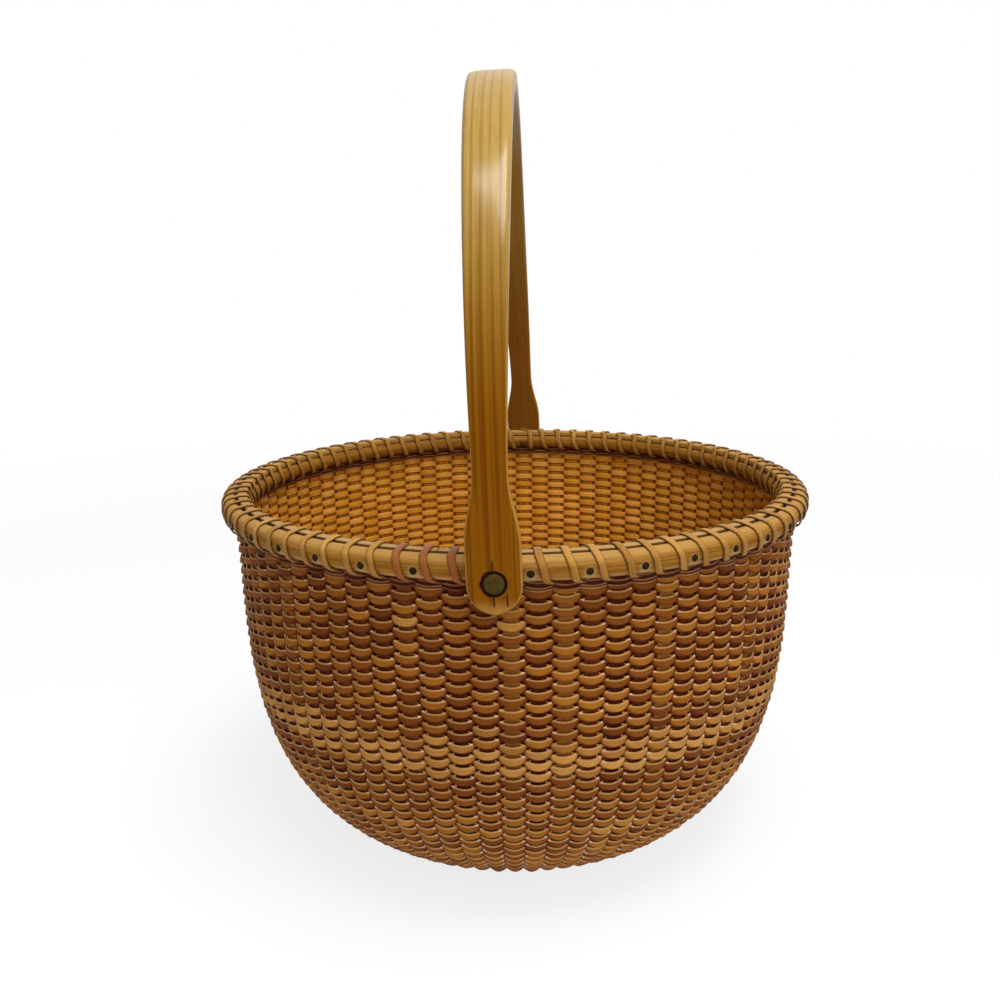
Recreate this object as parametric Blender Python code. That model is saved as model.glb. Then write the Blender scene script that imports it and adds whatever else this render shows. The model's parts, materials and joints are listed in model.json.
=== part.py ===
"""Round woven basket with a swing handle, built piece by piece.

Metres, +Z up. The origin is the centre of the base's underside, the handle's
hinge line runs along Y, and angles round the basket start at the front (-Y)
and grow towards +X.
"""
import math

import bmesh
import bpy
from mathutils import Matrix, Vector

# Staves and weave
STAVE_COUNT = 81
STAVE_THICKNESS = 0.0010
STAVE_RIM_WIDTH = 0.0056
STAVE_BASE_WIDTH = 0.0039
ROOT_LENGTH = 0.0055
ROOT_RING_WIDTH = 0.0020
ROOT_HEIGHT = 0.0041
WALL_TUCK = 0.0009
BOWL_HEIGHT_POWER = 3.6
BOWL_RADIUS_POWER = 1.75
FLARE_POWER = 10
ROW_SPACING_POWER = 1.9
WEAVE_THICKNESS = 0.0013
WEAVE_GAP = 0.0005
WEAVE_RIM_DROP = 0.0014
WEAVE_START_SHARE = 0.25
WALL_ROWS = 6
NORMAL_STEP_SHARE = 0.001
WEAVE_SEGMENTS = 54

# Base plate
BASE_RADIUS = 0.0635
BASE_THICKNESS = 0.0080
BASE_CHAMFER = 0.0010
FOOT_RING_WIDTH = 0.0100
FOOT_RECESS_DEPTH = 0.0008
GROOVE_DEPTH = 0.0060
BASE_SEGMENTS = 40

# Rim: two half-round hoops either side of the stave ends. The cap lies on the stave
# tips and the inner hoop, its top level with that of the taller outer hoop
RIM_TOP = 0.1535
RIM_RADIUS = 0.1261
CAP_THICKNESS = 0.0024
CAP_WIDTH = 0.0042
CAP_JOINT_GAP = 0.0006
CAP_JOINT_ANGLE_DEG = -9.5
INNER_HOOP_HEIGHT = 0.0067
OUTER_HOOP_THICKNESS = 0.0056
INNER_HOOP_THICKNESS = 0.0046
SEAT_GAP = 0.0003

# Half-round hoop outline: (share of thickness, share of height from the top)
OUTER_HOOP_SHARES = ((0, 0), (0.48, 0), (0.90, 0.28), (1, 0.62), (0.52, 1), (0, 1))
INNER_HOOP_SHARES = ((0, 0), (0.60, 0), (1, 0.42), (0.52, 1), (0, 1))

# Lashing strand
LASH_WIDTH = 0.0030
LASH_THICKNESS = 0.0006
# How far along its pitch the strand has come at each bend of a turn, and of
# the one turn that crosses over on top, clear of the back rivet
LASH_ADVANCE_SHARES = (0, 0.22, 0.46, 0.48, 0.53, 0.62, 0.70, 1)
LASH_DETOUR_SHARES = (0, 0.03, 0.12, 0.85, 0.93, 0.96, 0.98, 1)

# Nails in the outer hoop
NAIL_HEAD_RADIUS = 0.0011
NAIL_HEAD_THICKNESS = 0.0004
NAIL_SHANK_RADIUS = 0.0005
NAIL_LENGTH = 0.0032
NAIL_DROP = 0.0057
NAIL_OFFSET_SHARE = -0.32
NAIL_SIDES = 6
PILOT_HOLE_SIDES = 4

# Handle
PIVOT_DROP = 0.0068
EAR_WIDTH = 0.0182
EAR_THICKNESS = 0.0056
EAR_DROP = 0.0104
EAR_STRAIGHT = 0.0130
NECK_WIDTH = 0.0114
NECK_HEIGHT = 0.0348
NECK_LENGTH = 0.0050
GRIP_WIDTH = 0.0184
GRIP_THICKNESS = 0.0068
HANDLE_EDGE_CHAMFER = 0.0012
HANDLE_HEIGHT = 0.1671
HANDLE_LEAN_DEG = 2.0
BOW_TWIST_DEG = 1.0
EAR_END_STEPS = 5
NECK_STEPS = 4
BOW_STEPS = 22

# Rivets
RIVET_SHANK_RADIUS = 0.0012
RIVET_HEAD_RADIUS = 0.0034
RIVET_HEAD_HEIGHT = 0.0012
RIVET_TAIL_RADIUS = 0.0018
RIVET_TAIL_HEIGHT = 0.0006
RIVET_RECESS_RADIUS = 0.0044
RIVET_RECESS_DEPTH = 0.0006
ROUND_SEGMENTS = 14

# Overrun of every cutter past the face it cuts
CUT_OVERRUN = 0.0020

# Sizes that follow from the ones above
PITCH = 2 * math.pi / STAVE_COUNT
HOOP_TOP = RIM_TOP - CAP_THICKNESS - SEAT_GAP
HOOP_BOTTOM = HOOP_TOP - INNER_HOOP_HEIGHT
OUTER_HOOP_FLAT = RIM_RADIUS - OUTER_HOOP_THICKNESS
STAVE_RIM_RADIUS = OUTER_HOOP_FLAT - SEAT_GAP
INNER_HOOP_FLAT = STAVE_RIM_RADIUS - STAVE_THICKNESS - SEAT_GAP
CAP_OUTER = OUTER_HOOP_FLAT - SEAT_GAP
CAP_INNER = CAP_OUTER - CAP_WIDTH
LASH_OUTER = RIM_RADIUS + SEAT_GAP + LASH_THICKNESS
LASH_INNER = INNER_HOOP_FLAT - INNER_HOOP_THICKNESS - SEAT_GAP - LASH_THICKNESS
PIVOT_HEIGHT = RIM_TOP - PIVOT_DROP
EAR_INNER = LASH_OUTER + SEAT_GAP
HANDLE_RADIUS = EAR_INNER + EAR_THICKNESS
TAIL_SEAT = INNER_HOOP_FLAT - INNER_HOOP_THICKNESS - SEAT_GAP
BACK_TURN = STAVE_COUNT // 2


def material(name, colour, roughness, metallic=0.0):
    """Make one plain Principled material."""
    made = bpy.data.materials.new(name)
    made.use_nodes = True
    shader = made.node_tree.nodes["Principled BSDF"]
    shader.inputs["Base Color"].default_value = (*colour, 1.0)
    shader.inputs["Roughness"].default_value = roughness
    shader.inputs["Metallic"].default_value = metallic
    made.diffuse_color = (*colour, 1.0)
    return made


def on_ring(radius, angle, height):
    """A point at an angle round the basket, counted from the front towards +X."""
    return Vector((radius * math.sin(angle), -radius * math.cos(angle), height))


def finish_mesh(name, points, faces, look, smooth_angle_deg=35):
    """Make an object from points and faces, with its normals outwards."""
    mesh = bpy.data.meshes.new(name)
    mesh.from_pydata(points, [], faces)
    work = bmesh.new()
    work.from_mesh(mesh)
    bmesh.ops.recalc_face_normals(work, faces=work.faces)
    work.to_mesh(mesh)
    work.free()
    mesh.shade_smooth()
    mesh.set_sharp_from_angle(angle=math.radians(smooth_angle_deg))
    mesh.materials.append(look)
    made = bpy.data.objects.new(name, mesh)
    bpy.context.collection.objects.link(made)
    return made


def hide_cutter(cutter):
    """Mark a cutter so that only the piece it cuts is part of the model."""
    cutter.hide_render = True
    cutter.display_type = "WIRE"
    return cutter


def cut_with(piece, cutter, name):
    """Subtract a cutter from a piece with a live Boolean."""
    cut = piece.modifiers.new(name, "BOOLEAN")
    cut.operation = "DIFFERENCE"
    cut.solver = "EXACT"
    cut.object = cutter


def turned_points(profile, segments):
    """Points and faces of a profile turned about Z; ends on the axis close in one point."""
    points, faces, rings = [], [], []
    for radius, height in profile:
        if radius == 0:
            rings.append([len(points)])
            points.append(Vector((0, 0, height)))
            continue
        rings.append(list(range(len(points), len(points) + segments)))
        for step in range(segments):
            points.append(on_ring(radius, 2 * math.pi * step / segments, height))
    for lower, upper in zip(rings, rings[1:]):
        for step in range(segments):
            after = (step + 1) % segments
            corners = [lower[step % len(lower)], lower[after % len(lower)],
                       upper[after % len(upper)], upper[step % len(upper)]]
            faces.append(list(dict.fromkeys(corners)))
    return points, faces


def turned_ring(name, outline, segments, look):
    """A closed outline of (radius, height) turned into a ring."""
    points, faces = turned_points(list(outline) + [outline[0]], segments)
    kept = len(points) - segments
    faces = [[index if index < kept else index - kept for index in face] for face in faces]
    return finish_mesh(name, points[:kept], faces, look)


def bowl_point(share):
    """Radius and height of the staves' outer face, from the base (0) to the hoops (1)."""
    side_radius = STAVE_RIM_RADIUS - WALL_TUCK
    spread = (1 - (1 - share) ** BOWL_HEIGHT_POWER) ** (1 / BOWL_RADIUS_POWER)
    radius = BASE_RADIUS + (side_radius - BASE_RADIUS) * spread + WALL_TUCK * share ** FLARE_POWER
    return radius, ROOT_HEIGHT + (HOOP_BOTTOM - ROOT_HEIGHT) * share


def bowl_normal(share):
    """Outward unit normal of the bowl curve, as (radial, upward) parts."""
    if share == 0:
        return 0.0, -1.0
    low_radius, low_height = bowl_point(share - share * NORMAL_STEP_SHARE)
    high_radius, high_height = bowl_point(min(share + share * NORMAL_STEP_SHARE, 1))
    across, up = high_radius - low_radius, high_height - low_height
    length = math.hypot(across, up)
    return up / length, -across / length


def wall_line(distance):
    """The wall's rows from the base to the hoops, moved outwards by a distance."""
    line = []
    for row in range(WALL_ROWS + 1):
        share = (row / WALL_ROWS) ** ROW_SPACING_POWER
        radius, height = bowl_point(share)
        normal = bowl_normal(share)
        line.append((radius + normal[0] * distance, height + normal[1] * distance))
    return line


def between(start, end, share):
    """The point at a share of the way from one (radius, height) to another."""
    return tuple(low + (high - low) * share for low, high in zip(start, end))


def stave_half_angle(radius):
    """Half the angle that a stave covers at a radius; staves taper to the base."""
    grown = max(0.0, (radius - BASE_RADIUS) / (STAVE_RIM_RADIUS - BASE_RADIUS))
    width = STAVE_BASE_WIDTH + (STAVE_RIM_WIDTH - STAVE_BASE_WIDTH) * grown
    return width / 2 / radius


def stave_sections():
    """(outer, inner) face points of a stave from its root ring to its tip."""
    root_inner = BASE_RADIUS - ROOT_LENGTH
    sections = []
    for radius in (root_inner, root_inner + ROOT_RING_WIDTH):
        sections.append(((radius, ROOT_HEIGHT), (radius, ROOT_HEIGHT + STAVE_THICKNESS)))
    sections += list(zip(wall_line(0), wall_line(-STAVE_THICKNESS)))
    sections.append(((STAVE_RIM_RADIUS, HOOP_TOP), (STAVE_RIM_RADIUS - STAVE_THICKNESS, HOOP_TOP)))
    return sections


def build_staves(look):
    """All the staves as one crown: separate uprights whose roots join in a ring."""
    sections = stave_sections()
    points, faces, columns = [], [], []
    for stave in range(STAVE_COUNT):
        centre = (stave + 1 / 2) * PITCH
        left, right = [], []
        for pair in sections:
            half = stave_half_angle(pair[0][0])
            for side, column in ((-half, left), (half, right)):
                column.append([len(points), len(points) + 1])
                points += [on_ring(radius, centre + side, height) for radius, height in pair]
        columns.append((left, right))
    last = len(sections) - 1
    for stave, (left, right) in enumerate(columns):
        next_left = columns[(stave + 1) % STAVE_COUNT][0]
        for row in range(last):
            for face in (0, 1):
                faces.append([left[row][face], right[row][face],
                              right[row + 1][face], left[row + 1][face]])
        for row in range(1, last):
            for column in (left, right):
                faces.append([column[row][0], column[row + 1][0],
                              column[row + 1][1], column[row][1]])
        for face in (0, 1):
            faces.append([right[0][face], next_left[0][face], next_left[1][face], right[1][face]])
        faces.append([left[last][0], right[last][0], right[last][1], left[last][1]])
        faces.append([left[0][0], left[0][1], right[0][1], right[0][0]])
        for row in (0, 1):
            faces.append([right[row][0], right[row][1], next_left[row][1], next_left[row][0]])
    return finish_mesh("staves", points, faces, look)


def build_weave(look):
    """The woven wall: a shell of the weave's thickness over the staves."""
    top = HOOP_BOTTOM - WEAVE_RIM_DROP
    outline = []
    for distance, order in ((WEAVE_GAP + WEAVE_THICKNESS, 1), (WEAVE_GAP, -1)):
        line = wall_line(distance)
        line[0] = between(line[0], line[1], WEAVE_START_SHARE)
        below, above = line[-2], line[-1]
        line[-1] = between(below, above, (top - below[1]) / (above[1] - below[1]))
        outline += line[::order]
    return turned_ring("weave", outline, WEAVE_SEGMENTS, look)


def build_base(look):
    """Turned base plate, its edge grooved for the stave roots, its underside hollowed."""
    foot_inner = BASE_RADIUS - BASE_CHAMFER - FOOT_RING_WIDTH
    groove_low = ROOT_HEIGHT - SEAT_GAP
    groove_high = ROOT_HEIGHT + STAVE_THICKNESS + SEAT_GAP
    groove_floor = BASE_RADIUS - GROOVE_DEPTH
    profile = [
        (0, FOOT_RECESS_DEPTH),
        (foot_inner - FOOT_RECESS_DEPTH, FOOT_RECESS_DEPTH),
        (foot_inner, 0),
        (BASE_RADIUS - BASE_CHAMFER, 0),
        (BASE_RADIUS, BASE_CHAMFER),
        (BASE_RADIUS, groove_low),
        (groove_floor, groove_low),
        (groove_floor, groove_high),
        (BASE_RADIUS, groove_high),
        (BASE_RADIUS, BASE_THICKNESS - BASE_CHAMFER),
        (BASE_RADIUS - BASE_CHAMFER, BASE_THICKNESS),
        (0, BASE_THICKNESS),
    ]
    points, faces = turned_points(profile, BASE_SEGMENTS)
    return finish_mesh("base_plate", points, faces, look)


def hoop_outline(flat_radius, top, reach, shares):
    """Half-round section of a hoop, reaching outwards, or inwards where reach is below 0."""
    return [(flat_radius + across * reach, top - down * (top - HOOP_BOTTOM))
            for across, down in shares]


def outer_outline():
    return hoop_outline(OUTER_HOOP_FLAT, RIM_TOP, OUTER_HOOP_THICKNESS, OUTER_HOOP_SHARES)


def inner_outline():
    return hoop_outline(INNER_HOOP_FLAT, HOOP_TOP, -INNER_HOOP_THICKNESS, INNER_HOOP_SHARES)


def build_hoops(look):
    """The two half-round hoops."""
    outer = turned_ring("outer_hoop", outer_outline(), STAVE_COUNT, look)
    inner = turned_ring("inner_hoop", inner_outline(), STAVE_COUNT, look)
    return outer, inner


def build_cap(look):
    """Strip over the stave tips and the inner hoop, its ends meeting in a narrow joint."""
    low = RIM_TOP - CAP_THICKNESS
    section = [(CAP_INNER, low), (CAP_INNER, RIM_TOP), (CAP_OUTER, RIM_TOP), (CAP_OUTER, low)]
    joint = math.radians(CAP_JOINT_ANGLE_DEG)
    half_gap = CAP_JOINT_GAP / 2 / CAP_OUTER
    start, sweep = joint + half_gap, 2 * math.pi - 2 * half_gap
    points, faces = [], []
    for step in range(STAVE_COUNT + 1):
        angle = start + sweep * step / STAVE_COUNT
        points += [on_ring(radius, angle, height) for radius, height in section]
    size = len(section)
    for step in range(STAVE_COUNT):
        for corner in range(size):
            after = (corner + 1) % size
            faces.append([step * size + corner, step * size + after,
                          (step + 1) * size + after, (step + 1) * size + corner])
    faces.append(list(range(size)))
    faces.append(list(range(STAVE_COUNT * size, (STAVE_COUNT + 1) * size)))
    return finish_mesh("rim_cap", points, faces, look)


def rim_hull():
    """Corners that the lashing bends round, in the order of one turn.

    The last lies under the outer hoop, where the strand turns inwards.
    """
    outer, inner = outer_outline(), inner_outline()
    return [inner[3], inner[2], (CAP_INNER, RIM_TOP), *outer[1:]]


def offset_hull(distance):
    """The rim's corners moved out by a distance, square to both edges at each corner."""
    hull = rim_hull()
    moved = []
    for index, corner in enumerate(hull):
        before, after = hull[index - 1], hull[(index + 1) % len(hull)]
        normals = []
        for start, end in ((before, corner), (corner, after)):
            along = (end[0] - start[0], end[1] - start[1])
            length = math.hypot(*along)
            normals.append((-along[1] / length, along[0] / length))
        total = (normals[0][0] + normals[1][0], normals[0][1] + normals[1][1])
        reach = 1 + normals[0][0] * normals[1][0] + normals[0][1] * normals[1][1]
        moved.append((corner[0] + total[0] * distance / reach,
                      corner[1] + total[1] * distance / reach))
    return moved


def build_lashing(look):
    """One unbroken flat strand round cap and hoops, passing inwards between staves.

    It leaves out the gap at the front, where the rivet passes.
    """
    near, far = offset_hull(SEAT_GAP), offset_hull(SEAT_GAP + LASH_THICKNESS)
    points, faces = [], []
    for turn in range(1, STAVE_COUNT - 1):
        advance = LASH_DETOUR_SHARES if turn == BACK_TURN else LASH_ADVANCE_SHARES
        for place, share in enumerate(advance):
            angle = (turn + share) * PITCH
            for radius, height in (near[place], far[place]):
                half = LASH_WIDTH / 2 / radius
                points.append(on_ring(radius, angle - half, height))
                points.append(on_ring(radius, angle + half, height))
    loop = (0, 1, 3, 2)
    for first in range(0, len(points) - 4, 4):
        for corner in range(4):
            here, there = first + loop[corner], first + loop[(corner + 1) % 4]
            faces.append([here, there, there + 4, here + 4])
    faces.append(list(loop))
    faces.append([len(points) - 4 + corner for corner in loop])
    report_least_gap(points)
    return finish_mesh("rim_lashing", points, faces, look)


def report_least_gap(points):
    """Print the least distance between two neighbouring turns of the lashing."""
    per_turn = len(LASH_ADVANCE_SHARES) * 4
    least = min((points[index + per_turn] - points[index]).length
                for index in range(len(points) - per_turn))
    print("rim lashing: least gap between turns in metres:", round(least - LASH_WIDTH, 5))


def nail_angles():
    """Angles of the nails: every second stave each way from the front rivet."""
    towards_right = [place + 1 / 2 for place in range(1, STAVE_COUNT // 2, 2)]
    towards_left = [-place - 1 / 2 for place in range(0, STAVE_COUNT // 2, 2)]
    return [(place + NAIL_OFFSET_SHARE) * PITCH for place in towards_right + towards_left]


def nail_seat_radius():
    """Radius of the outer hoop's face at the nails' height."""
    upper, lower = outer_outline()[2], outer_outline()[3]
    height = RIM_TOP - NAIL_DROP
    share = (upper[1] - height) / (upper[1] - lower[1])
    return upper[0] + (lower[0] - upper[0]) * share


def face_outwards(mesh_points, angle, radius, height):
    """Turn points modelled along +Z to point outwards at an angle round the basket."""
    turn = Matrix.Rotation(angle, 4, "Z") @ Matrix.Rotation(math.radians(90), 4, "X")
    shift = Matrix.Translation(on_ring(radius, angle, height))
    return [shift @ turn @ point for point in mesh_points]


def build_nails(look, outer_hoop):
    """Headed nails in the outer hoop, each in its own drilled hole."""
    seat = nail_seat_radius() * math.cos(PITCH / 2) + SEAT_GAP
    height = RIM_TOP - NAIL_DROP
    profile = [(0, NAIL_HEAD_THICKNESS), (NAIL_HEAD_RADIUS, 0), (NAIL_SHANK_RADIUS, 0),
               (0, -NAIL_LENGTH)]
    hole_radius = (NAIL_SHANK_RADIUS + SEAT_GAP) / math.cos(math.pi / PILOT_HOLE_SIDES)
    hole = [(0, CUT_OVERRUN), (hole_radius, CUT_OVERRUN),
            (hole_radius, -NAIL_LENGTH - SEAT_GAP), (0, -NAIL_LENGTH - SEAT_GAP)]
    nail_points, nail_faces = turned_points(profile, NAIL_SIDES)
    hole_points, hole_faces = turned_points(hole, PILOT_HOLE_SIDES)
    cutter_points, cutter_faces = [], []
    for count, angle in enumerate(nail_angles(), start=1):
        finish_mesh(f"nail_{count:02d}", face_outwards(nail_points, angle, seat, height),
                    nail_faces, look)
        first = len(cutter_points)
        cutter_points += face_outwards(hole_points, angle, seat, height)
        cutter_faces += [[first + index for index in face] for face in hole_faces]
    cutter = hide_cutter(finish_mesh("nail_hole_cutter", cutter_points, cutter_faces, look))
    cut_with(outer_hoop, cutter, "nail holes")


def smooth_step(share):
    """Ease from 0 to 1 with level ends."""
    share = min(max(share, 0.0), 1.0)
    return share * share * (3 - 2 * share)


def round_step(share):
    """Rise from 0 to 1, steep at first and level at the end."""
    share = min(max(share, 0.0), 1.0)
    return math.sin(math.radians(90) * share)


def handle_stations():
    """(outward, up, half width, thickness, slope) along one side, ear end to crown.

    Outward and up place the outer face, up being counted from the pivot.
    """
    ear_centre = EAR_WIDTH / 2 - EAR_DROP
    crown = HANDLE_HEIGHT + PIVOT_DROP
    spring = crown - HANDLE_RADIUS
    straight = []
    for step in range(EAR_END_STEPS):
        angle = math.radians(90) * (step + 0.5) / EAR_END_STEPS
        straight.append(ear_centre - EAR_WIDTH / 2 * math.cos(angle))
    straight.append(EAR_STRAIGHT)
    for step in range(1, NECK_STEPS + 1):
        straight.append(EAR_STRAIGHT + (NECK_HEIGHT - EAR_STRAIGHT) * step / NECK_STEPS)
    places = [(HANDLE_RADIUS, up, 0.0, up) for up in straight]
    for step in range(BOW_STEPS // 2 + 1):
        angle = math.pi * step / BOW_STEPS
        places.append((HANDLE_RADIUS * math.cos(angle), spring + HANDLE_RADIUS * math.sin(angle),
                       angle, spring + HANDLE_RADIUS * angle))
    full = places[-1][3]
    stations = []
    for outward, up, slope, run in places:
        if up < ear_centre:
            half = math.sqrt(max((EAR_WIDTH / 2) ** 2 - (up - ear_centre) ** 2, 0.0))
        else:
            narrow = smooth_step((run - EAR_STRAIGHT) / (NECK_HEIGHT - EAR_STRAIGHT))
            neck_end = NECK_HEIGHT + NECK_LENGTH
            widen = round_step((run - neck_end) / (full - neck_end))
            half = (EAR_WIDTH + (NECK_WIDTH - EAR_WIDTH) * narrow
                    + (GRIP_WIDTH - NECK_WIDTH) * widen) / 2
        thicken = smooth_step((run - EAR_STRAIGHT) / (spring + NECK_LENGTH - EAR_STRAIGHT))
        thickness = EAR_THICKNESS + (GRIP_THICKNESS - EAR_THICKNESS) * thicken
        stations.append((outward, up, half, thickness, slope))
    return stations


def handle_section(station, side):
    """Eight corners of the handle's section; side is -1 at the front, +1 at the back."""
    outward, up, half, thickness, slope = station
    lift = smooth_step(up / (HANDLE_HEIGHT + PIVOT_DROP))
    twist = -math.tan(math.radians(BOW_TWIST_DEG)) * side * outward * lift
    chamfer = min(HANDLE_EDGE_CHAMFER, half / 2)
    corners = []
    for across, depth in ((-half, chamfer), (chamfer - half, 0), (half - chamfer, 0),
                          (half, chamfer), (half, thickness - chamfer),
                          (half - chamfer, thickness), (chamfer - half, thickness),
                          (-half, thickness - chamfer)):
        corners.append(Vector((across + twist, side * (outward - depth * math.cos(slope)),
                               up - depth * math.sin(slope))))
    return corners


def build_handle(look, pivot):
    """The bent bow with an ear at each end, drilled and recessed for its rivets."""
    stations = handle_stations()
    sections = [handle_section(station, -1) for station in stations]
    sections += [handle_section(station, 1) for station in reversed(stations[:-1])]
    points, faces = [], []
    for section in sections:
        points += section
    size = len(sections[0])
    for step in range(len(sections) - 1):
        for corner in range(size):
            after = (corner + 1) % size
            faces.append([step * size + corner, step * size + after,
                          (step + 1) * size + after, (step + 1) * size + corner])
    faces.append(list(range(size)))
    faces.append(list(range(len(points) - size, len(points))))
    handle = finish_mesh("handle", points, faces, look)
    handle.parent = pivot
    bore = RIVET_SHANK_RADIUS + SEAT_GAP
    floor = HANDLE_RADIUS - RIVET_RECESS_DEPTH
    inner, outer = EAR_INNER - CUT_OVERRUN, HANDLE_RADIUS + CUT_OVERRUN
    profile = [(0, inner), (bore, inner), (bore, floor), (RIVET_RECESS_RADIUS, floor),
               (RIVET_RECESS_RADIUS, outer), (0, outer)]
    bore_points, bore_faces = turned_points(profile, ROUND_SEGMENTS)
    for side, name in ((0, "front"), (math.pi, "back")):
        cutter = hide_cutter(finish_mesh(f"{name}_ear_cutter",
                                         face_outwards(bore_points, side, 0, 0),
                                         bore_faces, look))
        cutter.parent = pivot
        cut_with(handle, cutter, f"{name} rivet hole")
    return handle


def rivet_profile():
    """Rivet outline about its axis: small tail inside, shank, domed head outside."""
    head = HANDLE_RADIUS - RIVET_RECESS_DEPTH + SEAT_GAP
    return [(0, TAIL_SEAT - RIVET_TAIL_HEIGHT),
            (RIVET_TAIL_RADIUS / 2, TAIL_SEAT - RIVET_TAIL_HEIGHT),
            (RIVET_TAIL_RADIUS, TAIL_SEAT - RIVET_TAIL_HEIGHT / 2),
            (RIVET_TAIL_RADIUS, TAIL_SEAT),
            (RIVET_SHANK_RADIUS, TAIL_SEAT),
            (RIVET_SHANK_RADIUS, head),
            (RIVET_HEAD_RADIUS, head),
            (RIVET_HEAD_RADIUS, head + RIVET_HEAD_HEIGHT / 2),
            (RIVET_HEAD_RADIUS / 2, head + RIVET_HEAD_HEIGHT),
            (0, head + RIVET_HEAD_HEIGHT)]


def build_rivets(brass, drilled):
    """Two rivets, and the holes they need in the pieces drilled."""
    bore = RIVET_SHANK_RADIUS + SEAT_GAP
    hole = [(0, LASH_INNER), (bore, LASH_INNER), (bore, EAR_INNER), (0, EAR_INNER)]
    hole_points, hole_faces = turned_points(hole, ROUND_SEGMENTS)
    rivet_points, rivet_faces = turned_points(rivet_profile(), ROUND_SEGMENTS)
    for side, name in ((0, "front"), (math.pi, "back")):
        finish_mesh(f"rivet_{name}", face_outwards(rivet_points, side, 0, PIVOT_HEIGHT),
                    rivet_faces, brass)
        cutter = hide_cutter(finish_mesh(f"{name}_rim_cutter",
                                         face_outwards(hole_points, side, 0, PIVOT_HEIGHT),
                                         hole_faces, brass))
        for piece in drilled:
            cut_with(piece, cutter, f"{name} rivet hole")


def clear_scene():
    """Remove whatever the file opened with."""
    for old in list(bpy.data.objects):
        bpy.data.objects.remove(old, do_unlink=True)


def main():
    clear_scene()
    cane = material("cane", (0.60, 0.36, 0.12), 0.45)
    stave_wood = material("stave_wood", (0.42, 0.20, 0.07), 0.50)
    rim_wood = material("rim_wood", (0.66, 0.42, 0.17), 0.42)
    handle_wood = material("handle_wood", (0.62, 0.38, 0.13), 0.32)
    base_wood = material("base_wood", (0.52, 0.31, 0.12), 0.40)
    brass = material("aged_brass", (0.45, 0.33, 0.14), 0.40, 1.0)
    dark_brass = material("dark_nail", (0.12, 0.09, 0.07), 0.50, 1.0)

    build_base(base_wood)
    staves = build_staves(stave_wood)
    build_weave(cane)
    outer_hoop, inner_hoop = build_hoops(rim_wood)
    build_cap(rim_wood)
    build_lashing(cane)
    build_nails(dark_brass, outer_hoop)

    pivot = bpy.data.objects.new("handle_pivot", None)
    pivot.location = (0, 0, PIVOT_HEIGHT)
    pivot.rotation_euler = (0, math.radians(-HANDLE_LEAN_DEG), 0)
    bpy.context.collection.objects.link(pivot)
    build_handle(handle_wood, pivot)
    build_rivets(brass, (staves, outer_hoop, inner_hoop))


main()
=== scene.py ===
import json
import math

import bmesh
import bpy
from bpy.props import FloatProperty, FloatVectorProperty, IntProperty, PointerProperty
from bpy.types import Operator, Panel, PropertyGroup
from mathutils import Matrix, Vector


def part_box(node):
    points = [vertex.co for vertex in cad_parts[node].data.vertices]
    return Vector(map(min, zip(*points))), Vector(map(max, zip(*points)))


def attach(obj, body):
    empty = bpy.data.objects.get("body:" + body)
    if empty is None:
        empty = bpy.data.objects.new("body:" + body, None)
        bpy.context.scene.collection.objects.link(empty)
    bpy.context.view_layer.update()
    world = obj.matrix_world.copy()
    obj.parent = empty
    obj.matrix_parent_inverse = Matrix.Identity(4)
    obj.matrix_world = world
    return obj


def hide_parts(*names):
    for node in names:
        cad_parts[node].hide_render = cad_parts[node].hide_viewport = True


bl_info = {
    "name": "Round woven basket",
    "version": (1, 0, 0),
    "blender": (4, 5, 0),
    "location": "3D View > Sidebar > Basket",
    "description": "Cane weave, staves, lashed rim and swing handle round a fixed frame",
    "category": "Object",
}

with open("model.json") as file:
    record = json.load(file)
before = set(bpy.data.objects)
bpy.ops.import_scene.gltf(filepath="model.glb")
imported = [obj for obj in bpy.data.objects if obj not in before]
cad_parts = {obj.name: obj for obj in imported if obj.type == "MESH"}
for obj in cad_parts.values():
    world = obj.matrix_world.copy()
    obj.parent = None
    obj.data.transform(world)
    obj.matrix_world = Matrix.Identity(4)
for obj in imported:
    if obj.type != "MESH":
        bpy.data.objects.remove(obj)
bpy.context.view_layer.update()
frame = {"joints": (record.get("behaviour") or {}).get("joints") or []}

# Places read from the frame
BASE_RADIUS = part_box("base_plate")[1].y
BASE_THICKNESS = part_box("base_plate")[1].z
RIM_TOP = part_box("rim_cap")[1].z
HOOP_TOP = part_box("inner_hoop")[1].z
HOOP_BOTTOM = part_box("inner_hoop")[0].z
NAIL_HEIGHT = (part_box("nail_01")[0].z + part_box("nail_01")[1].z) / 2
PIVOT = Vector(frame["joints"][0]["pos_m"])
STAVE_RIM_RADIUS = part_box("staves")[1].y

# Layout of the basket
STAVE_COUNT = 81
PITCH = 2 * math.pi / STAVE_COUNT
ROOT_HEIGHT = 0.0041
WALL_TUCK = 0.0009
BOWL_HEIGHT_POWER = 3.6
BOWL_RADIUS_POWER = 1.75
FLARE_POWER = 10
PROFILE_STEPS = 160
RIM_RADIUS = 0.1261
SEAT_GAP = 0.0003


def pair(operation, swapped=False):
    """A method that joins a term and another value by a Math node."""
    if swapped:
        return lambda self, term: self.net.math(operation, term, self)
    return lambda self, term: self.net.math(operation, self, term)


def single(operation):
    """A method that adds a Math node with one input."""
    return lambda self: self.net.math(operation, self)


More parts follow.
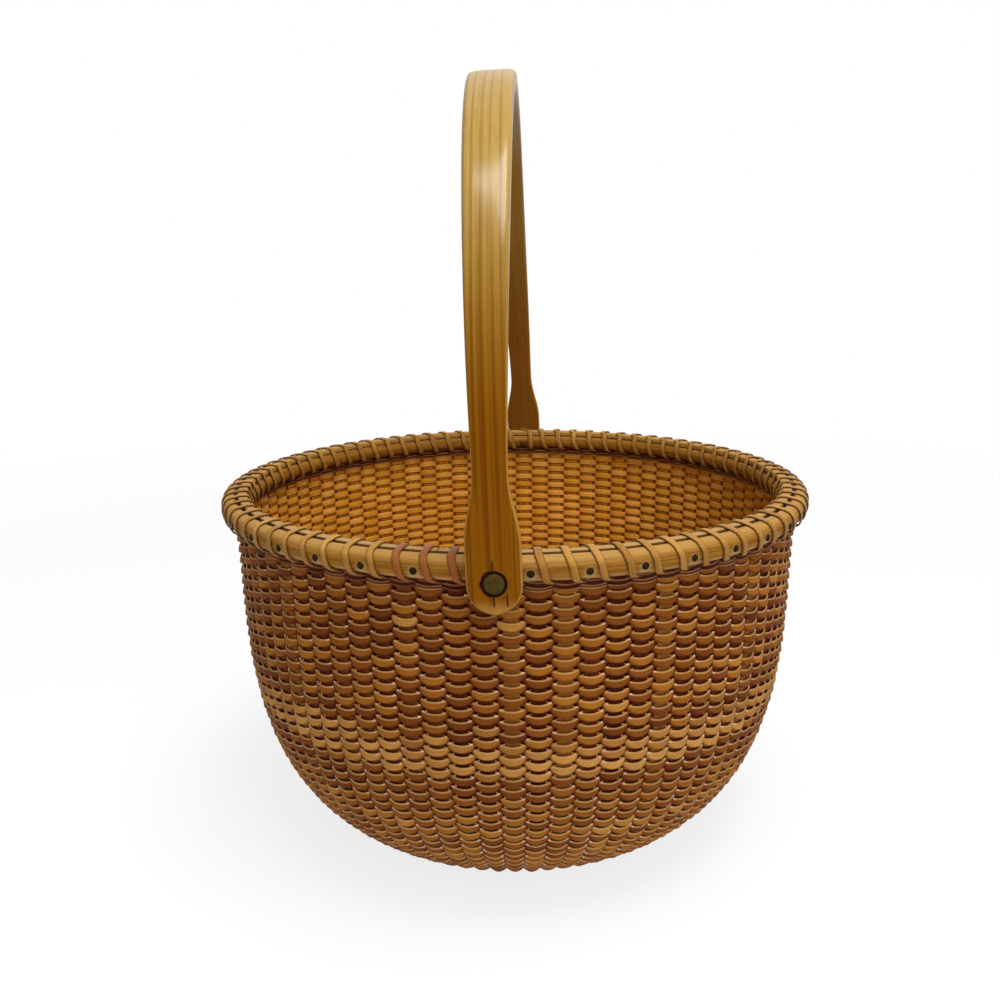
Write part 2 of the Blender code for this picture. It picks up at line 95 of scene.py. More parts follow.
class Term:
    """One socket of a node tree; arithmetic on it adds Math nodes."""

    __add__ = __radd__ = pair("ADD")
    __sub__ = pair("SUBTRACT")
    __rsub__ = pair("SUBTRACT", swapped=True)
    __mul__ = __rmul__ = pair("MULTIPLY")
    __truediv__ = pair("DIVIDE")
    __pow__ = pair("POWER")
    __gt__ = pair("GREATER_THAN")
    __lt__ = pair("LESS_THAN")
    least = pair("MINIMUM")
    most = pair("MAXIMUM")
    sin = single("SINE")
    cos = single("COSINE")
    root = single("SQRT")
    abs = single("ABSOLUTE")
    sign = single("SIGN")
    floor = single("FLOOR")
    fraction = single("FRACT")

    def __init__(self, net, socket):
        self.net = net
        self.socket = socket

    def __neg__(self):
        return self * -1

    def other(self, name):
        """Another output of the same node."""
        return Term(self.net, self.socket.node.outputs[name])

    def clamp(self):
        return self.most(0).least(1)

    def signed_power(self, power):
        return self.sign() * self.abs() ** power

    def smooth(self, low, high):
        """0 below low, 1 above high, eased between; low may be the larger."""
        sockets = {"Value": self, "From Min": low, "From Max": high}
        return self.net.node("ShaderNodeMapRange", {"interpolation_type": "SMOOTHSTEP"}, sockets)


class Net:
    """A node tree written as expressions. Colours are given without their alpha."""

    def __init__(self, tree):
        self.tree = tree

    def node(self, kind, settings=None, sockets=None, out=0):
        """Add a node: first its settings, then its sockets. Gives one of its outputs."""
        made = self.tree.nodes.new(kind)
        for name, value in (settings or {}).items():
            if name == "stops":
                fill_ramp(made.color_ramp, value)
            else:
                setattr(made, name, value)
        for name, value in (sockets or {}).items():
            socket = made.inputs[name]
            if isinstance(value, Term):
                self.tree.links.new(value.socket, socket)
            elif socket.type == "RGBA":
                socket.default_value = (*value, 1)
            else:
                socket.default_value = value
        if not made.outputs:
            return None
        return Term(self, made.outputs[out])

    def math(self, operation, *terms):
        return self.node("ShaderNodeMath", {"operation": operation}, dict(enumerate(terms)))

    def vector(self, *terms):
        return self.node("ShaderNodeCombineXYZ", {}, dict(enumerate(terms)))

    def split(self, term):
        """The three parts of a vector."""
        first = self.node("ShaderNodeSeparateXYZ", {}, {0: term})
        return first, first.other("Y"), first.other("Z")

    def mix(self, share, start, end):
        """Blend two colours by a share from 0 to 1."""
        settings = {"data_type": "RGBA", "blend_type": "MIX", "clamp_factor": True}
        return self.node("ShaderNodeMix", settings, {0: share, 6: start, 7: end}, 2)

    def coats(self, colour, *coats):
        """Lay coats over a colour one by one, each a share and a colour."""
        for share, tone in coats:
            colour = self.mix(share, colour, tone)
        return colour

    def ramp(self, term, *stops):
        """The colour at a place between (place, colour) stops."""
        return self.node("ShaderNodeValToRGB", {"stops": stops}, {0: term})

    def attributes(self, *names):
        """Numbers stored on the piece's mesh."""
        return [self.node("ShaderNodeAttribute", {"attribute_name": name}, {}, "Fac")
                for name in names]

    def place(self):
        """The three Object coordinates."""
        return self.split(self.node("ShaderNodeTexCoord", {}, {}, "Object"))

    def round_place(self):
        """The three Object coordinates and the distance from the basket's axis."""
        x, y, z = self.place()
        return x, y, z, (x * x + y * y).root()

    def noise(self, x, y, z, detail=2.0, rough=0.5):
        sockets = {"Vector": self.vector(x, y, z), "Scale": 1.0, "Detail": detail,
                   "Roughness": rough}
        return self.node("ShaderNodeTexNoise", {}, sockets)

    def specks(self, scale, detail=2.0, rough=0.5):
        """Noise that is alike in all directions."""
        return self.noise(*(axis * scale for axis in self.place()), detail, rough)

    def finish(self, colour, rough, specular, height=None, depth=0.0, **more):
        """The shader of a finish; its relief is as deep as depth where height is 1."""
        sockets = {"Base Color": colour, "Roughness": rough, "Specular IOR Level": specular}
        sockets.update((name.replace("_", " "), value) for name, value in more.items())
        if height:
            sockets["Normal"] = self.node("ShaderNodeBump", {}, {
                "Distance": depth, "Height": height})
        return self.node("ShaderNodeBsdfPrincipled", {}, sockets)

    def chance(self, term):
        """A fixed random number for each value of a term."""
        return self.node("ShaderNodeTexWhiteNoise", {"noise_dimensions": "1D"}, {"W": term})


def fill_ramp(ramp, stops):
    """Set a colour ramp from (position, colour) pairs."""
    while len(ramp.elements) > 1:
        ramp.elements.remove(ramp.elements[-1])
    for index, (position, colour) in enumerate(stops):
        element = ramp.elements[0] if index == 0 else ramp.elements.new(position)
        element.position = position
        element.color = (*colour, 1)


def empty_net(owner):
    """The emptied node tree of a material or world."""
    owner.use_nodes = True
    owner.node_tree.nodes.clear()
    return Net(owner.node_tree)


def finish_material(name, recipe):
    """Make a material: the recipe takes its net and describes the finish."""
    material = bpy.data.materials.new(name)
    net = empty_net(material)
    net.node("ShaderNodeOutputMaterial", {}, {"Surface": recipe(net)})
    return material


def length(name, description, default):
    """A length that a user would change."""
    return FloatProperty(name=name, description=description, default=default, unit="LENGTH")


def tone(name, description, default):
    """A colour that a user would change."""
    return FloatVectorProperty(
        name=name, description=description, default=default, subtype="COLOR")


class BasketSizes(PropertyGroup):
    """Sizes and colours that a user would change."""

    strand_width: length("Weaver width", "Width of the flat cane that is woven", 0.00280)
    strand_thickness: length(
        "Weaver thickness", "Thickness of the flat cane that is woven", 0.00105)
    bulge: length("Weaver bulge", "How far the weaver swings out and in round the staves", 0.00140)
    rows: IntProperty(
        name="Rows", description="Turns of the weaver from the base to the rim", default=68)
    stave_width: length("Stave width", "Width of a stave at the rim", 0.0056)
    stave_base_width: length(
        "Stave width at base", "Width of a stave where it leaves the base", 0.0031)
    stave_thickness: length("Stave thickness", "Thickness of a stave", 0.0010)
    lash_width: length("Lashing width", "Width of the cane wound round the rim", 0.0029)
    lash_thickness: length(
        "Lashing thickness", "Thickness of the cane wound round the rim", 0.0007)
    nail_radius: length("Nail head radius", "Radius of a nail's head", 0.00135)
    cane_light: tone("Light cane", "The palest weaver", (0.60, 0.32, 0.085))
    cane_mid: tone("Aged cane", "Most of the weave", (0.185, 0.052, 0.0060))
    cane_dark: tone("Dark cane", "The darkest weaver", (0.085, 0.019, 0.004))
    rim_light: tone("Rim wood", "Hoops and cap", (0.28, 0.124, 0.013))
    # Pale tone over the handle's crown: painted light from above
    handle_crown_lit: tone("Handle wood", "The handle's palest grain", (0.335, 0.205, 0.032))
    brass_tone: tone("Brass", "Aged brass of the rivets", (0.064, 0.037, 0.002))


def sizes():
    return bpy.context.scene.basket_sizes


def smooth_step(share):
    share = min(max(share, 0.0), 1.0)
    return share * share * (3 - 2 * share)


def round_step(share):
    """Rise from 0 to 1, steep at first and level at the end."""
    return math.sin(math.pi / 2 * min(max(share, 0.0), 1.0))


def signed_power(value, power):
    """A power that keeps the value's sign."""
    return math.copysign(abs(value) ** power, value)


def on_ring(radius, angle, height):
    """A point at an angle round the basket, counted from the front towards +X."""
    return Vector((radius * math.sin(angle), -radius * math.cos(angle), height))


def running_lengths(line):
    """How far along a line of (across, up) points each of them lies."""
    lengths = [0.0]
    for start, end in zip(line, line[1:]):
        lengths.append(lengths[-1] + math.dist(start, end))
    return lengths


def tube_faces(rows, size, closed=False):
    """Faces between rows of points, where each row runs once round a section."""
    faces = []
    for row in range(rows if closed else rows - 1):
        after = (row + 1) % rows
        for corner in range(size):
            beside = (corner + 1) % size
            faces.append((row * size + corner, row * size + beside,
                          after * size + beside, after * size + corner))
    return faces


def link_new(name, data):
    """A new object in the scene."""
    made = bpy.data.objects.new(name, data)
    bpy.context.scene.collection.objects.link(made)
    return made


def add_object(name, points, faces, material, smooth_deg=50):
    """Make an object from points and faces, with its normals outwards."""
    mesh = bpy.data.meshes.new(name)
    mesh.from_pydata(points, [], faces)
    return close_object(link_new(name, mesh), material, smooth_deg)


def close_object(made, material=None, smooth_deg=50):
    """Cap open ends, turn the normals outwards and smooth a piece."""
    mesh = made.data
    work = bmesh.new()
    work.from_mesh(mesh)
    open_edges = [edge for edge in work.edges if edge.is_boundary]
    if open_edges:
        bmesh.ops.holes_fill(work, edges=open_edges)
    bmesh.ops.recalc_face_normals(work, faces=work.faces)
    work.to_mesh(mesh)
    work.free()
    mesh.shade_smooth()
    mesh.set_sharp_from_angle(angle=math.radians(smooth_deg))
    if material:
        mesh.materials.clear()
        mesh.materials.append(material)
    return made


def settle(made, modifier):
    """Turn a modifier's result into the object's plain mesh."""
    bpy.context.view_layer.update()
    depsgraph = bpy.context.evaluated_depsgraph_get()
    mesh = bpy.data.meshes.new_from_object(
        made.evaluated_get(depsgraph), preserve_all_data_layers=True, depsgraph=depsgraph)
    made.modifiers.remove(modifier)
    made.data = mesh


def store(made, **layers):
    """Keep numbers for each point of a piece, for its material."""
    for name, values in layers.items():
        layer = made.data.attributes.new(name, "FLOAT", "POINT")
        layer.data.foreach_set("value", values)


def place_piece(made, body, slot, *nodes):
    """Let a piece move with a body and stand for its nodes."""
    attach(made, body)
    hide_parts(*nodes)


def bowl_point(share):
    """Radius and height of the staves' outer face, from the base (0) to the hoops (1)."""
    side = STAVE_RIM_RADIUS - WALL_TUCK
    spread = (1 - (1 - share) ** BOWL_HEIGHT_POWER) ** (1 / BOWL_RADIUS_POWER)
    radius = BASE_RADIUS + (side - BASE_RADIUS) * spread + WALL_TUCK * share ** FLARE_POWER
    return radius, ROOT_HEIGHT + (HOOP_BOTTOM - ROOT_HEIGHT) * share


def bowl_line():
    """The wall's line as (radius, height) points, from the base groove to the hoops."""
    return [bowl_point((step / PROFILE_STEPS) ** 2) for step in range(PROFILE_STEPS + 1)]


def line_normals(line):
    """Outward normals of a line of (radius, height) points that runs upwards."""
    normals = []
    for index in range(len(line)):
        low, high = line[max(index - 1, 0)], line[min(index + 1, len(line) - 1)]
        across, up = high[0] - low[0], high[1] - low[1]
        distance = math.hypot(across, up)
        normals.append((up / distance, -across / distance))
    return normals


def geometry_tree(name, inputs):
    """A new geometry node tree with named inputs; gives its net and its input terms."""
    tree = bpy.data.node_groups.new(name, "GeometryNodeTree")
    tree.interface.new_socket("Geometry", in_out="OUTPUT", socket_type="NodeSocketGeometry")
    for label, kind in inputs:
        tree.interface.new_socket(label, in_out="INPUT", socket_type=f"NodeSocket{kind}")
    net = Net(tree)
    group = tree.nodes.new("NodeGroupInput")
    return net, {label: Term(net, group.outputs[label]) for label, kind in inputs}


def finish_tree(net, geometry, material):
    """End a tree in plain geometry with its material."""
    real = net.node("GeometryNodeRealizeInstances", {}, {"Geometry": geometry})
    painted = net.node("GeometryNodeSetMaterial", {}, {"Geometry": real, "Material": material})
    net.node("NodeGroupOutput", {}, {"Geometry": painted})


def grow(name, net, values):
    """Run a tree and keep its result as a plain mesh on an object of its own."""
    made = link_new(name, bpy.data.meshes.new(name))
    modifier = made.modifiers.new(name, "NODES")
    modifier.node_group = net.tree
    for item in net.tree.interface.items_tree:
        if item.in_out == "INPUT":
            modifier[item.identifier] = values[item.name]
    settle(made, modifier)
    return made


def keep_number(net, geometry, name, term, domain="POINT"):
    """Store a number on geometry under a name."""
    sockets = {"Geometry": geometry, "Name": name, "Value": term}
    settings = {"data_type": "FLOAT", "domain": domain}
    return net.node("GeometryNodeStoreNamedAttribute", settings, sockets)


# The strand, its section and its way round the staves
STATIONS_PER_STAVE = 8
SECTION_SIDES = 8
WEAVE_PIECES = 4
EDGE_POWER = 0.55
FACE_POWER = 0.70
LAY_POWER = 0.84
SLOPE_POWER = 1.5
SLOPE_SHARE = 1.15
TILT_SHARE = 0.20
CROSS_SHARE = 1.12
INSIDE_SHARE = 0.20
SWING_CENTRE = -0.00020
DROOP = 0.00055
WAVER_SHARE = 0.08
JITTER = 0.00012
WEAVE_SEED = 5
MERGE_DISTANCE = 0.00001

# Where the strand starts and ends, and the narrow turns under the hoops
WEAVE_START = 0.0045
LEAD_TURNS = 2.0
END_TURN_SHARE = 0.028
END_WIDTH_SHARE = 0.12
FINE_ZONE = 0.0046
FINE_TURNS = 5.0
FINE_WIDTH = 0.0016
FINE_BULGE = 0.0007
FINE_TUCK = 0.0007
FINE_SQUEEZE = 0.20


def weave_tree():
    """One flat strand that spirals up the wall, in front of and behind the staves.

    A grid gives the strand's stations along X and the sides of its section along Y.
    """
    net, given = geometry_tree("Spiral weave", (
        ("Wall", "Object"), ("First turn", "Float"), ("Last turn", "Float"),
        ("All turns", "Float"), ("Start", "Float"), ("Rise", "Float"), ("Staves", "Float"),
        ("Width", "Float"), ("Thickness", "Float"), ("Bulge", "Float"),
        ("Material", "Material")))
    turns = given["Last turn"] - given["First turn"]
    stations = turns * given["Staves"] * STATIONS_PER_STAVE + 1
    grid = net.node("GeometryNodeMeshGrid", {}, {
        "Size X": turns, "Size Y": 1.0, "Vertices X": stations,
        "Vertices Y": SECTION_SIDES + 1})
    along, round_share, _ = net.split(net.node("GeometryNodeInputPosition"))
    turn = along + (given["First turn"] + given["Last turn"]) * 0.5
    section = (round_share + 0.5) * (2 * math.pi)
    stave = turn * given["Staves"]
    half_turns = stave * math.pi
    lay = half_turns.sin().signed_power(LAY_POWER)
    slope_wave = half_turns.cos().signed_power(SLOPE_POWER) * (SLOPE_SHARE * math.pi)

    ident = net.node("FunctionNodeFloatToInt", {"rounding_mode": "FLOOR"}, {0: stave})
    random = net.node("FunctionNodeRandomValue", {"data_type": "FLOAT"}, {
        "Min": -1.0, "Max": 1.0, "ID": ident, "Seed": WEAVE_SEED}, 1)
    swing = given["Bulge"] * (random * WAVER_SHARE + 1)

    climb = given["All turns"] - 1
    ending = (given["All turns"] - turn).clamp()
    height = (given["Rise"] * (turn / climb).least(1) + given["Start"]
              + (1 - ending) * given["Width"] * 0.5)
    wall = net.node("GeometryNodeObjectInfo", {}, {"Object": given["Wall"]}, "Geometry")
    sample = net.node("GeometryNodeSampleCurve", {"mode": "LENGTH"}, {
        "Curves": wall, "Length": height}, "Position")
    radius, _, level = net.split(sample)
    lean, _, rise = net.split(sample.other("Tangent"))

    ending = ending.most(END_WIDTH_SHARE)
    width = (given["Width"] * ending
             * (lay.abs() * (1 - CROSS_SHARE) + CROSS_SHARE
                - lay.least(0) * INSIDE_SHARE))
    across = section.cos().signed_power(EDGE_POWER) * width * 0.5
    depth = section.sin().signed_power(FACE_POWER) * given["Thickness"] * 0.5
    slope = swing * slope_wave * given["Staves"] / (radius * (2 * math.pi))
    stretch = (slope * slope + 1).root()
    outward = swing * lay + depth / stretch - across * lay * TILT_SHARE + SWING_CENTRE
    sideways = -(depth * slope / stretch)
    upward = across + lay.abs() * random * JITTER - lay * DROOP
    ring = radius + outward * rise + upward * lean
    angle = turn * (2 * math.pi) + sideways / radius
    spot = net.vector(ring * angle.sin(), -(ring * angle.cos()),
                      level - outward * lean + upward * rise)
    kept = (("turn", turn), ("lay", lay), ("across", section.cos()), ("face", section.sin()))
    for name, term in kept:
        grid = keep_number(net, grid, name, term)
    moved = net.node("GeometryNodeSetPosition", {}, {"Geometry": grid, "Position": spot})
    merged = net.node("GeometryNodeMergeByDistance", {}, {
        "Geometry": moved, "Distance": MERGE_DISTANCE})
    finish_tree(net, merged, given["Material"])
    return net


def line_curve(name, line):
    """A curve object that follows a line of (radius, height) points."""
    curve = bpy.data.curves.new(name, "CURVE")
    curve.dimensions = "3D"
    spline = curve.splines.new("POLY")
    spline.points.add(len(line) - 1)
    for point, (radius, height) in zip(spline.points, line):
        point.co = (radius, 0, height, 1)
    return link_new(name, curve)


# Turns between which the weave's pale band and its dark neighbours fade in and out
PALE_BAND = ((36.4, 37.3), (43.6, 40.6))
DARK_BELOW = ((30.0, 31.5), (36.9, 36.2))
DARK_ABOVE = ((43.4, 44.0), (46.8, 46.2))

CANE_HONEY = (0.31, 0.112, 0.013)
CANE_PALE = (0.48, 0.230, 0.055)
CANE_BROWN = (0.12, 0.030, 0.006)
CANE_INDOORS = ((0.55, 0.220, 0.018), (0.68, 0.310, 0.052))
CANE_FIBRE = (0.09, 0.025, 0.005)
# Painted shade of the weaver: near black outside, a warmer shade on its inner face
CANE_SHADE = (0.040, 0.0030, 0.0004)
CANE_INDOOR_SHADE = (0.42, 0.130, 0.004)
# Painted highlight on the weaver's top edges, and painted glints at some of its corners
CANE_EDGE_HIGHLIGHT = (0.68, 0.38, 0.14)
CANE_GLINT = (0.82, 0.60, 0.50)
# Narrow turns under the hoops: painted shade below, a painted highlight on each top edge
FINE_CANE_SHADE_AND_HIGHLIGHT = ((0.050, 0.005, 0.002), (0.36, 0.155, 0.080))


def zone(turn, stops):
    """1 between two fades, each from a first to a second turn."""
    return turn.smooth(*stops[0]) * turn.smooth(*stops[1])


def cane_colour(net, turn, inside):
    """Weaver colours: slow change along the strand, a pale band, warmer indoors."""
    given = sizes()
    slow = net.noise(turn * 2.3, 0.0, 0.0, 4.0, 0.65)
    cell = net.chance((turn * STAVE_COUNT).floor())
    colour = net.ramp((slow - 0.5) * 1.9 + 0.44 + (cell - 0.5) * 0.34,
                      (0.06, given.cane_dark), (0.38, given.cane_mid),
                      (0.66, CANE_HONEY), (1.0, given.cane_light))
    pale = zone(turn, PALE_BAND) * (0.40 + 0.55 * cell)
    brown = (zone(turn, DARK_BELOW) + zone(turn, DARK_ABOVE)) * 0.45
    return net.coats(colour, (pale, CANE_PALE), (brown, CANE_BROWN),
                     (inside * 0.9, net.mix(cell, *CANE_INDOORS)))


def cane_finish(net):
    """Flat cane: fibre lines along the strand, painted shade behind the staves and under the lower
    edge, and painted highlights.
    """
    turn, lay, across, face = net.attributes("turn", "lay", "across", "face")
    inner = face.smooth(-0.62, -0.72)
    inside = inner * lay.smooth(0.10, -0.30)
    fibre = net.noise(turn * 160, across * 9, 0.0, 3.0, 0.6)
    # Painted shade where the strand lies behind a stave and under its lower edge, lighter on the
    # inside
    behind_stave_shade = (lay * face.sign()).smooth(0.25, -0.40)
    low_edge_shade = (across - (1 - lay.abs()) * 0.9).smooth(-0.45, -1.05)
    shade = (behind_stave_shade * 0.85 + low_edge_shade * 0.55).clamp() * (1 - inside * 0.72)
    # Painted highlight along the strand's top edge, then painted glints at some upper corners
    lit_top_edge = across.smooth(0.45, 0.75) * (1 - behind_stave_shade) * (1 - inside)
    corner = net.chance((turn * (STAVE_COUNT * 2)).floor() + 0.5).smooth(0.45, 0.75)
    glint = (across.smooth(0.55, 0.85) * face.smooth(-0.35, -0.10)
             * lay.smooth(0.10, 0.22) * lay.smooth(0.62, 0.45))
    # Under the hoops the narrow turns are painted dark with a pale top edge: painted shade and
    # highlight
    high = net.place()[2].smooth(HOOP_BOTTOM - 0.0044, HOOP_BOTTOM - 0.0032)
    colour = net.coats(
        cane_colour(net, turn, inside),
        (fibre.smooth(0.52, 0.30) * 0.4, CANE_FIBRE),
        (shade, net.mix(inner, CANE_SHADE, CANE_INDOOR_SHADE)),
        (lit_top_edge * lay.smooth(0.0, 0.3) * 0.55, CANE_EDGE_HIGHLIGHT),
        (glint * corner * 0.7, CANE_GLINT),
        (high * 0.95, net.mix(across.smooth(0.0, 0.8), *FINE_CANE_SHADE_AND_HIGHLIGHT)))
    return net.finish(colour, 0.40 + fibre * 0.15, 0.03, fibre, 0.00012)


class BASKET_OT_weave(Operator):
    """Weave the wall: one strand of flat cane from the base to the rim"""

    bl_idname = "basket.weave"
    bl_label = "Weave"

    def execute(self, context):
        given = sizes()
        line = bowl_line()
        wall = line_curve("wall_line", line + [(line[-1][0], HOOP_BOTTOM + FINE_TUCK)])
        net = weave_tree()
        material = finish_material("woven_cane", cane_finish)
        turns = given.rows + END_TURN_SHARE
        share = (turns + LEAD_TURNS) / WEAVE_PIECES
        climb = running_lengths(line)[-1]
        parts = [(f"weave_{piece + 1}", {
            "First turn": share * piece - LEAD_TURNS,
            "Last turn": share * (piece + 1) - LEAD_TURNS, "All turns": turns,
            "Start": WEAVE_START, "Rise": climb - WEAVE_START - FINE_ZONE,
            "Width": given.strand_width, "Bulge": given.bulge})
            for piece in range(WEAVE_PIECES)]
        fine_start = climb - FINE_ZONE + (given.strand_width + FINE_WIDTH) / 2 * FINE_SQUEEZE
        parts.append(("weave_fine", {
            "First turn": 0.0, "Last turn": FINE_TURNS, "All turns": FINE_TURNS,
            "Start": fine_start, "Rise": climb + FINE_TUCK - FINE_WIDTH / 2 - fine_start,
            "Width": FINE_WIDTH, "Bulge": FINE_BULGE}))
        for name, values in parts:
            made = grow(name, net, {
                "Wall": wall, "Staves": float(STAVE_COUNT),
                "Thickness": given.strand_thickness, "Material": material, **values})
            close_object(made)
            place_piece(made, "basket", "woven_cane", "weave")
        bpy.data.objects.remove(wall)
        return {"FINISHED"}


LIGHT_STAVES = (0, 2, 6, 11, 15, 20, 24, 29, 33, 38, 44, 49, 53, 58, 63, 68, 71)
STAVE_STEPS = 46
STAVE_STEP_POWER = 1.8
ROOT_LENGTH = 0.0055
# A stave's section: share of its half width and share of its thickness, from outside
STAVE_OUTLINE = ((-1, 0.35), (-0.86, 0.0), (0.86, 0.0), (1, 0.35), (1, 0.75), (0.9, 1.0),
                 (-0.9, 1.0), (-1, 0.75))

# Each stave's own dark stain, darkened further as painted shade where staves show between the
# bulges
STAVE_STAIN_AND_SHADE = ((0.0, (0.060, 0.005, 0.001)), (0.6, (0.095, 0.012, 0.002)),
               (1.0, (0.16, 0.036, 0.006)))
STAVE_LIGHT = (0.26, 0.090, 0.014)
STAVE_GRAIN = (0.30, 0.11, 0.02)
STAVE_INNER = (0.60, 0.215, 0.010)


def stave_finish(net):
    """Staves: each of its own tone, darkened as painted shade, with grain along its length."""
    number, along, across, light, deep = net.attributes(
        "stave", "along", "across", "light", "deep")
    grain = net.noise(along * 45, across * 2600, number, 3.0, 0.6)
    colour = net.coats(
        net.ramp(net.chance(number), *STAVE_STAIN_AND_SHADE),
        (light, STAVE_LIGHT),
        (grain.smooth(0.45, 0.75) * 0.3, STAVE_GRAIN),
        (grain.smooth(0.5, 0.25) * 0.5, sizes().cane_dark),
        (deep.smooth(0.6, 0.9), STAVE_INNER))
    return net.finish(colour, 0.42, 0.05, grain, 0.0002)


def stave_shape(material):
    """One stave at the front, root to tip, with rounded edges."""
    given = sizes()
    line = [bowl_point((step / STAVE_STEPS) ** STAVE_STEP_POWER)
            for step in range(STAVE_STEPS + 1)]
    normals = line_normals(line)
    normals[0] = (0, -1)
    root = [(BASE_RADIUS - ROOT_LENGTH, ROOT_HEIGHT), (BASE_RADIUS - ROOT_LENGTH / 2, ROOT_HEIGHT)]
    line = root + line + [(STAVE_RIM_RADIUS, HOOP_TOP)]
    normals = [(0, -1), (0, -1)] + normals + [(1, 0)]
    points = []
    for (radius, height), (out, up), travelled in zip(line, normals, running_lengths(line)):
        grown = max(0.0, (radius - BASE_RADIUS) / (STAVE_RIM_RADIUS - BASE_RADIUS))
        half = (given.stave_base_width
                + (given.stave_width - given.stave_base_width) * grown) / 2
        for across, deep in STAVE_OUTLINE:
            depth = given.stave_thickness * deep
            spot = (across * half, -(radius - out * depth), height - up * depth)
            points.append((spot, travelled, across * half, deep))
    spots, run, side, depths = zip(*points)
    size = len(STAVE_OUTLINE)
    faces = tube_faces(len(line), size)
    faces.append(tuple(range(size)))
    faces.append(tuple(range(len(points) - size, len(points))))
    made = add_object("stave_shape", spots, faces, material)
    store(made, along=run, across=side, deep=depths)
    return made


def round_tree(name, first, step):
    """Copies of a shape round the basket; each copy keeps its number."""
    net, given = geometry_tree(name, (
        ("Shape", "Object"), ("Count", "Int"), ("Stave angle", "Float"),
        ("Material", "Material")))
    points = net.node("GeometryNodeMeshLine", {}, {
        "Count": given["Count"], "Offset": (0.0, 0.0, 0.0)})
    number = net.node("GeometryNodeInputIndex")
    shape = net.node("GeometryNodeObjectInfo", {}, {"Object": given["Shape"]}, "Geometry")
    turn = (number * step + first) * given["Stave angle"]
    copies = net.node("GeometryNodeInstanceOnPoints", {}, {
        "Points": points, "Instance": shape, "Rotation": net.vector(0.0, 0.0, turn)})
    copies = keep_number(net, copies, "number", number, "INSTANCE")
    finish_tree(net, copies, given["Material"])
    return net


class BASKET_OT_staves(Operator):
    """Stand the staves round the base"""

    bl_idname = "basket.staves"
    bl_label = "Staves"

    def execute(self, context):
        material = finish_material("stave_wood", stave_finish)
        shape = stave_shape(material)
        net = round_tree("Stave ring", 0.5, 1.0)
        made = grow("stave_ring", net, {
            "Shape": shape, "Count": STAVE_COUNT, "Stave angle": PITCH, "Material": material})
        numbers = [0.0] * len(made.data.vertices)
        made.data.attributes["number"].data.foreach_get("value", numbers)
        light = [float(round(number) in LIGHT_STAVES) for number in numbers]
        store(made, stave=numbers, light=light)
        close_object(made)
        bpy.data.objects.remove(shape)
        place_piece(made, "basket", "stave_wood", "staves")
        return {"FINISHED"}


HOOP_STEPS = 324
HOOP_SMOOTH_DEG = 35
SECTION_STEPS = 12
OUTER_HOOP_THICKNESS = 0.0056
OUTER_HOOP_FLAT = RIM_RADIUS - OUTER_HOOP_THICKNESS
INNER_HOOP_THICKNESS = 0.0046
CAP_WIDTH = 0.0042
CAP_THICKNESS = 0.0024
CAP_SIDE_SHARE = 0.45
SEAM_ROUND = 0.0009
SEAM_RADIUS = OUTER_HOOP_FLAT - SEAT_GAP / 2
HOOP_DROP = 0.0005
CAP_JOINT_DEG = -9.5
CAP_JOINT_GAP = 0.0006


def half_round(flat, top, reach):
    """A hoop's section: flat to the staves, rounded to the other side."""
    middle, half = (top + HOOP_BOTTOM) / 2, (top - HOOP_BOTTOM) / 2
    section = [(flat, top - SEAM_ROUND)]
    for step in range(SECTION_STEPS + 1):
        turn = math.pi * (step / SECTION_STEPS - 0.5)
        across = max(math.cos(turn), 0.0) ** 0.62
        up = -signed_power(math.sin(turn), 0.95)
        if step == 0:
            across = SEAM_ROUND / abs(reach)
        section.append((flat + reach * across, middle + half * up))
    return section


def outer_section():
    return half_round(OUTER_HOOP_FLAT, RIM_TOP - HOOP_DROP, OUTER_HOOP_THICKNESS)


def inner_section():
    flat = STAVE_RIM_RADIUS - sizes().stave_thickness - SEAT_GAP
    return half_round(flat, HOOP_TOP, -INNER_HOOP_THICKNESS)


def cap_section():
    """The cap strip's section: flat below, crowned above."""
    outer = OUTER_HOOP_FLAT - SEAT_GAP
    low = RIM_TOP - CAP_THICKNESS
    section = [(outer - CAP_WIDTH, low)]
    for step in range(SECTION_STEPS + 1):
        turn = math.pi * step / SECTION_STEPS
        across = -signed_power(math.cos(turn), 0.55)
        up = math.sin(turn) ** 0.55 if 0 < step < SECTION_STEPS else 0.0
        section.append((outer - CAP_WIDTH / 2 + across * CAP_WIDTH / 2,
                        low + CAP_THICKNESS * (CAP_SIDE_SHARE + (1 - CAP_SIDE_SHARE) * up)))
    section.append((outer, low))
    return section


def ring_piece(name, section, material, start=0.0, sweep=2 * math.pi):
    """Sweep a section round the basket, closed or with a joint, and keep its girth."""
    closed = sweep >= 2 * math.pi
    steps = HOOP_STEPS if closed else HOOP_STEPS + 1
    points = [on_ring(radius, start + sweep * step / HOOP_STEPS, height)
              for step in range(steps) for radius, height in section]
    faces = tube_faces(steps, len(section), closed)
    made = add_object(name, points, faces, material, HOOP_SMOOTH_DEG)
    store(made, girth=running_lengths(section) * steps)
    return made


# Thin dark grain lines round the outer hoop: place up its face, strength and half width
HOOP_LINES = ((0.50, 0.75, 0.00032), (0.24, 0.45, 0.00024), (0.74, 0.35, 0.00020))
# Where the nails stand, in staves from the front; the first is the twentieth to the left
NAIL_STAVE = 1.18
FIRST_NAIL = -20
NAIL_COUNT = 40

RIM_BROAD = (0.18, 0.065, 0.005)
RIM_FINE = (0.15, 0.055, 0.009)
RIM_PAINTED_HIGHLIGHT = (0.52, 0.31, 0.095)
RIM_FRONT_CAP_SHADE = (0.37, 0.235, 0.090)
RIM_LINE = (0.13, 0.048, 0.008)
RIM_LOW = (0.42, 0.225, 0.095)
RIM_HALO = (0.36, 0.30, 0.13)
RIM_FOOT_SHADE = (0.07, 0.012, 0.005)
RIM_SEAM = (0.085, 0.028, 0.004)


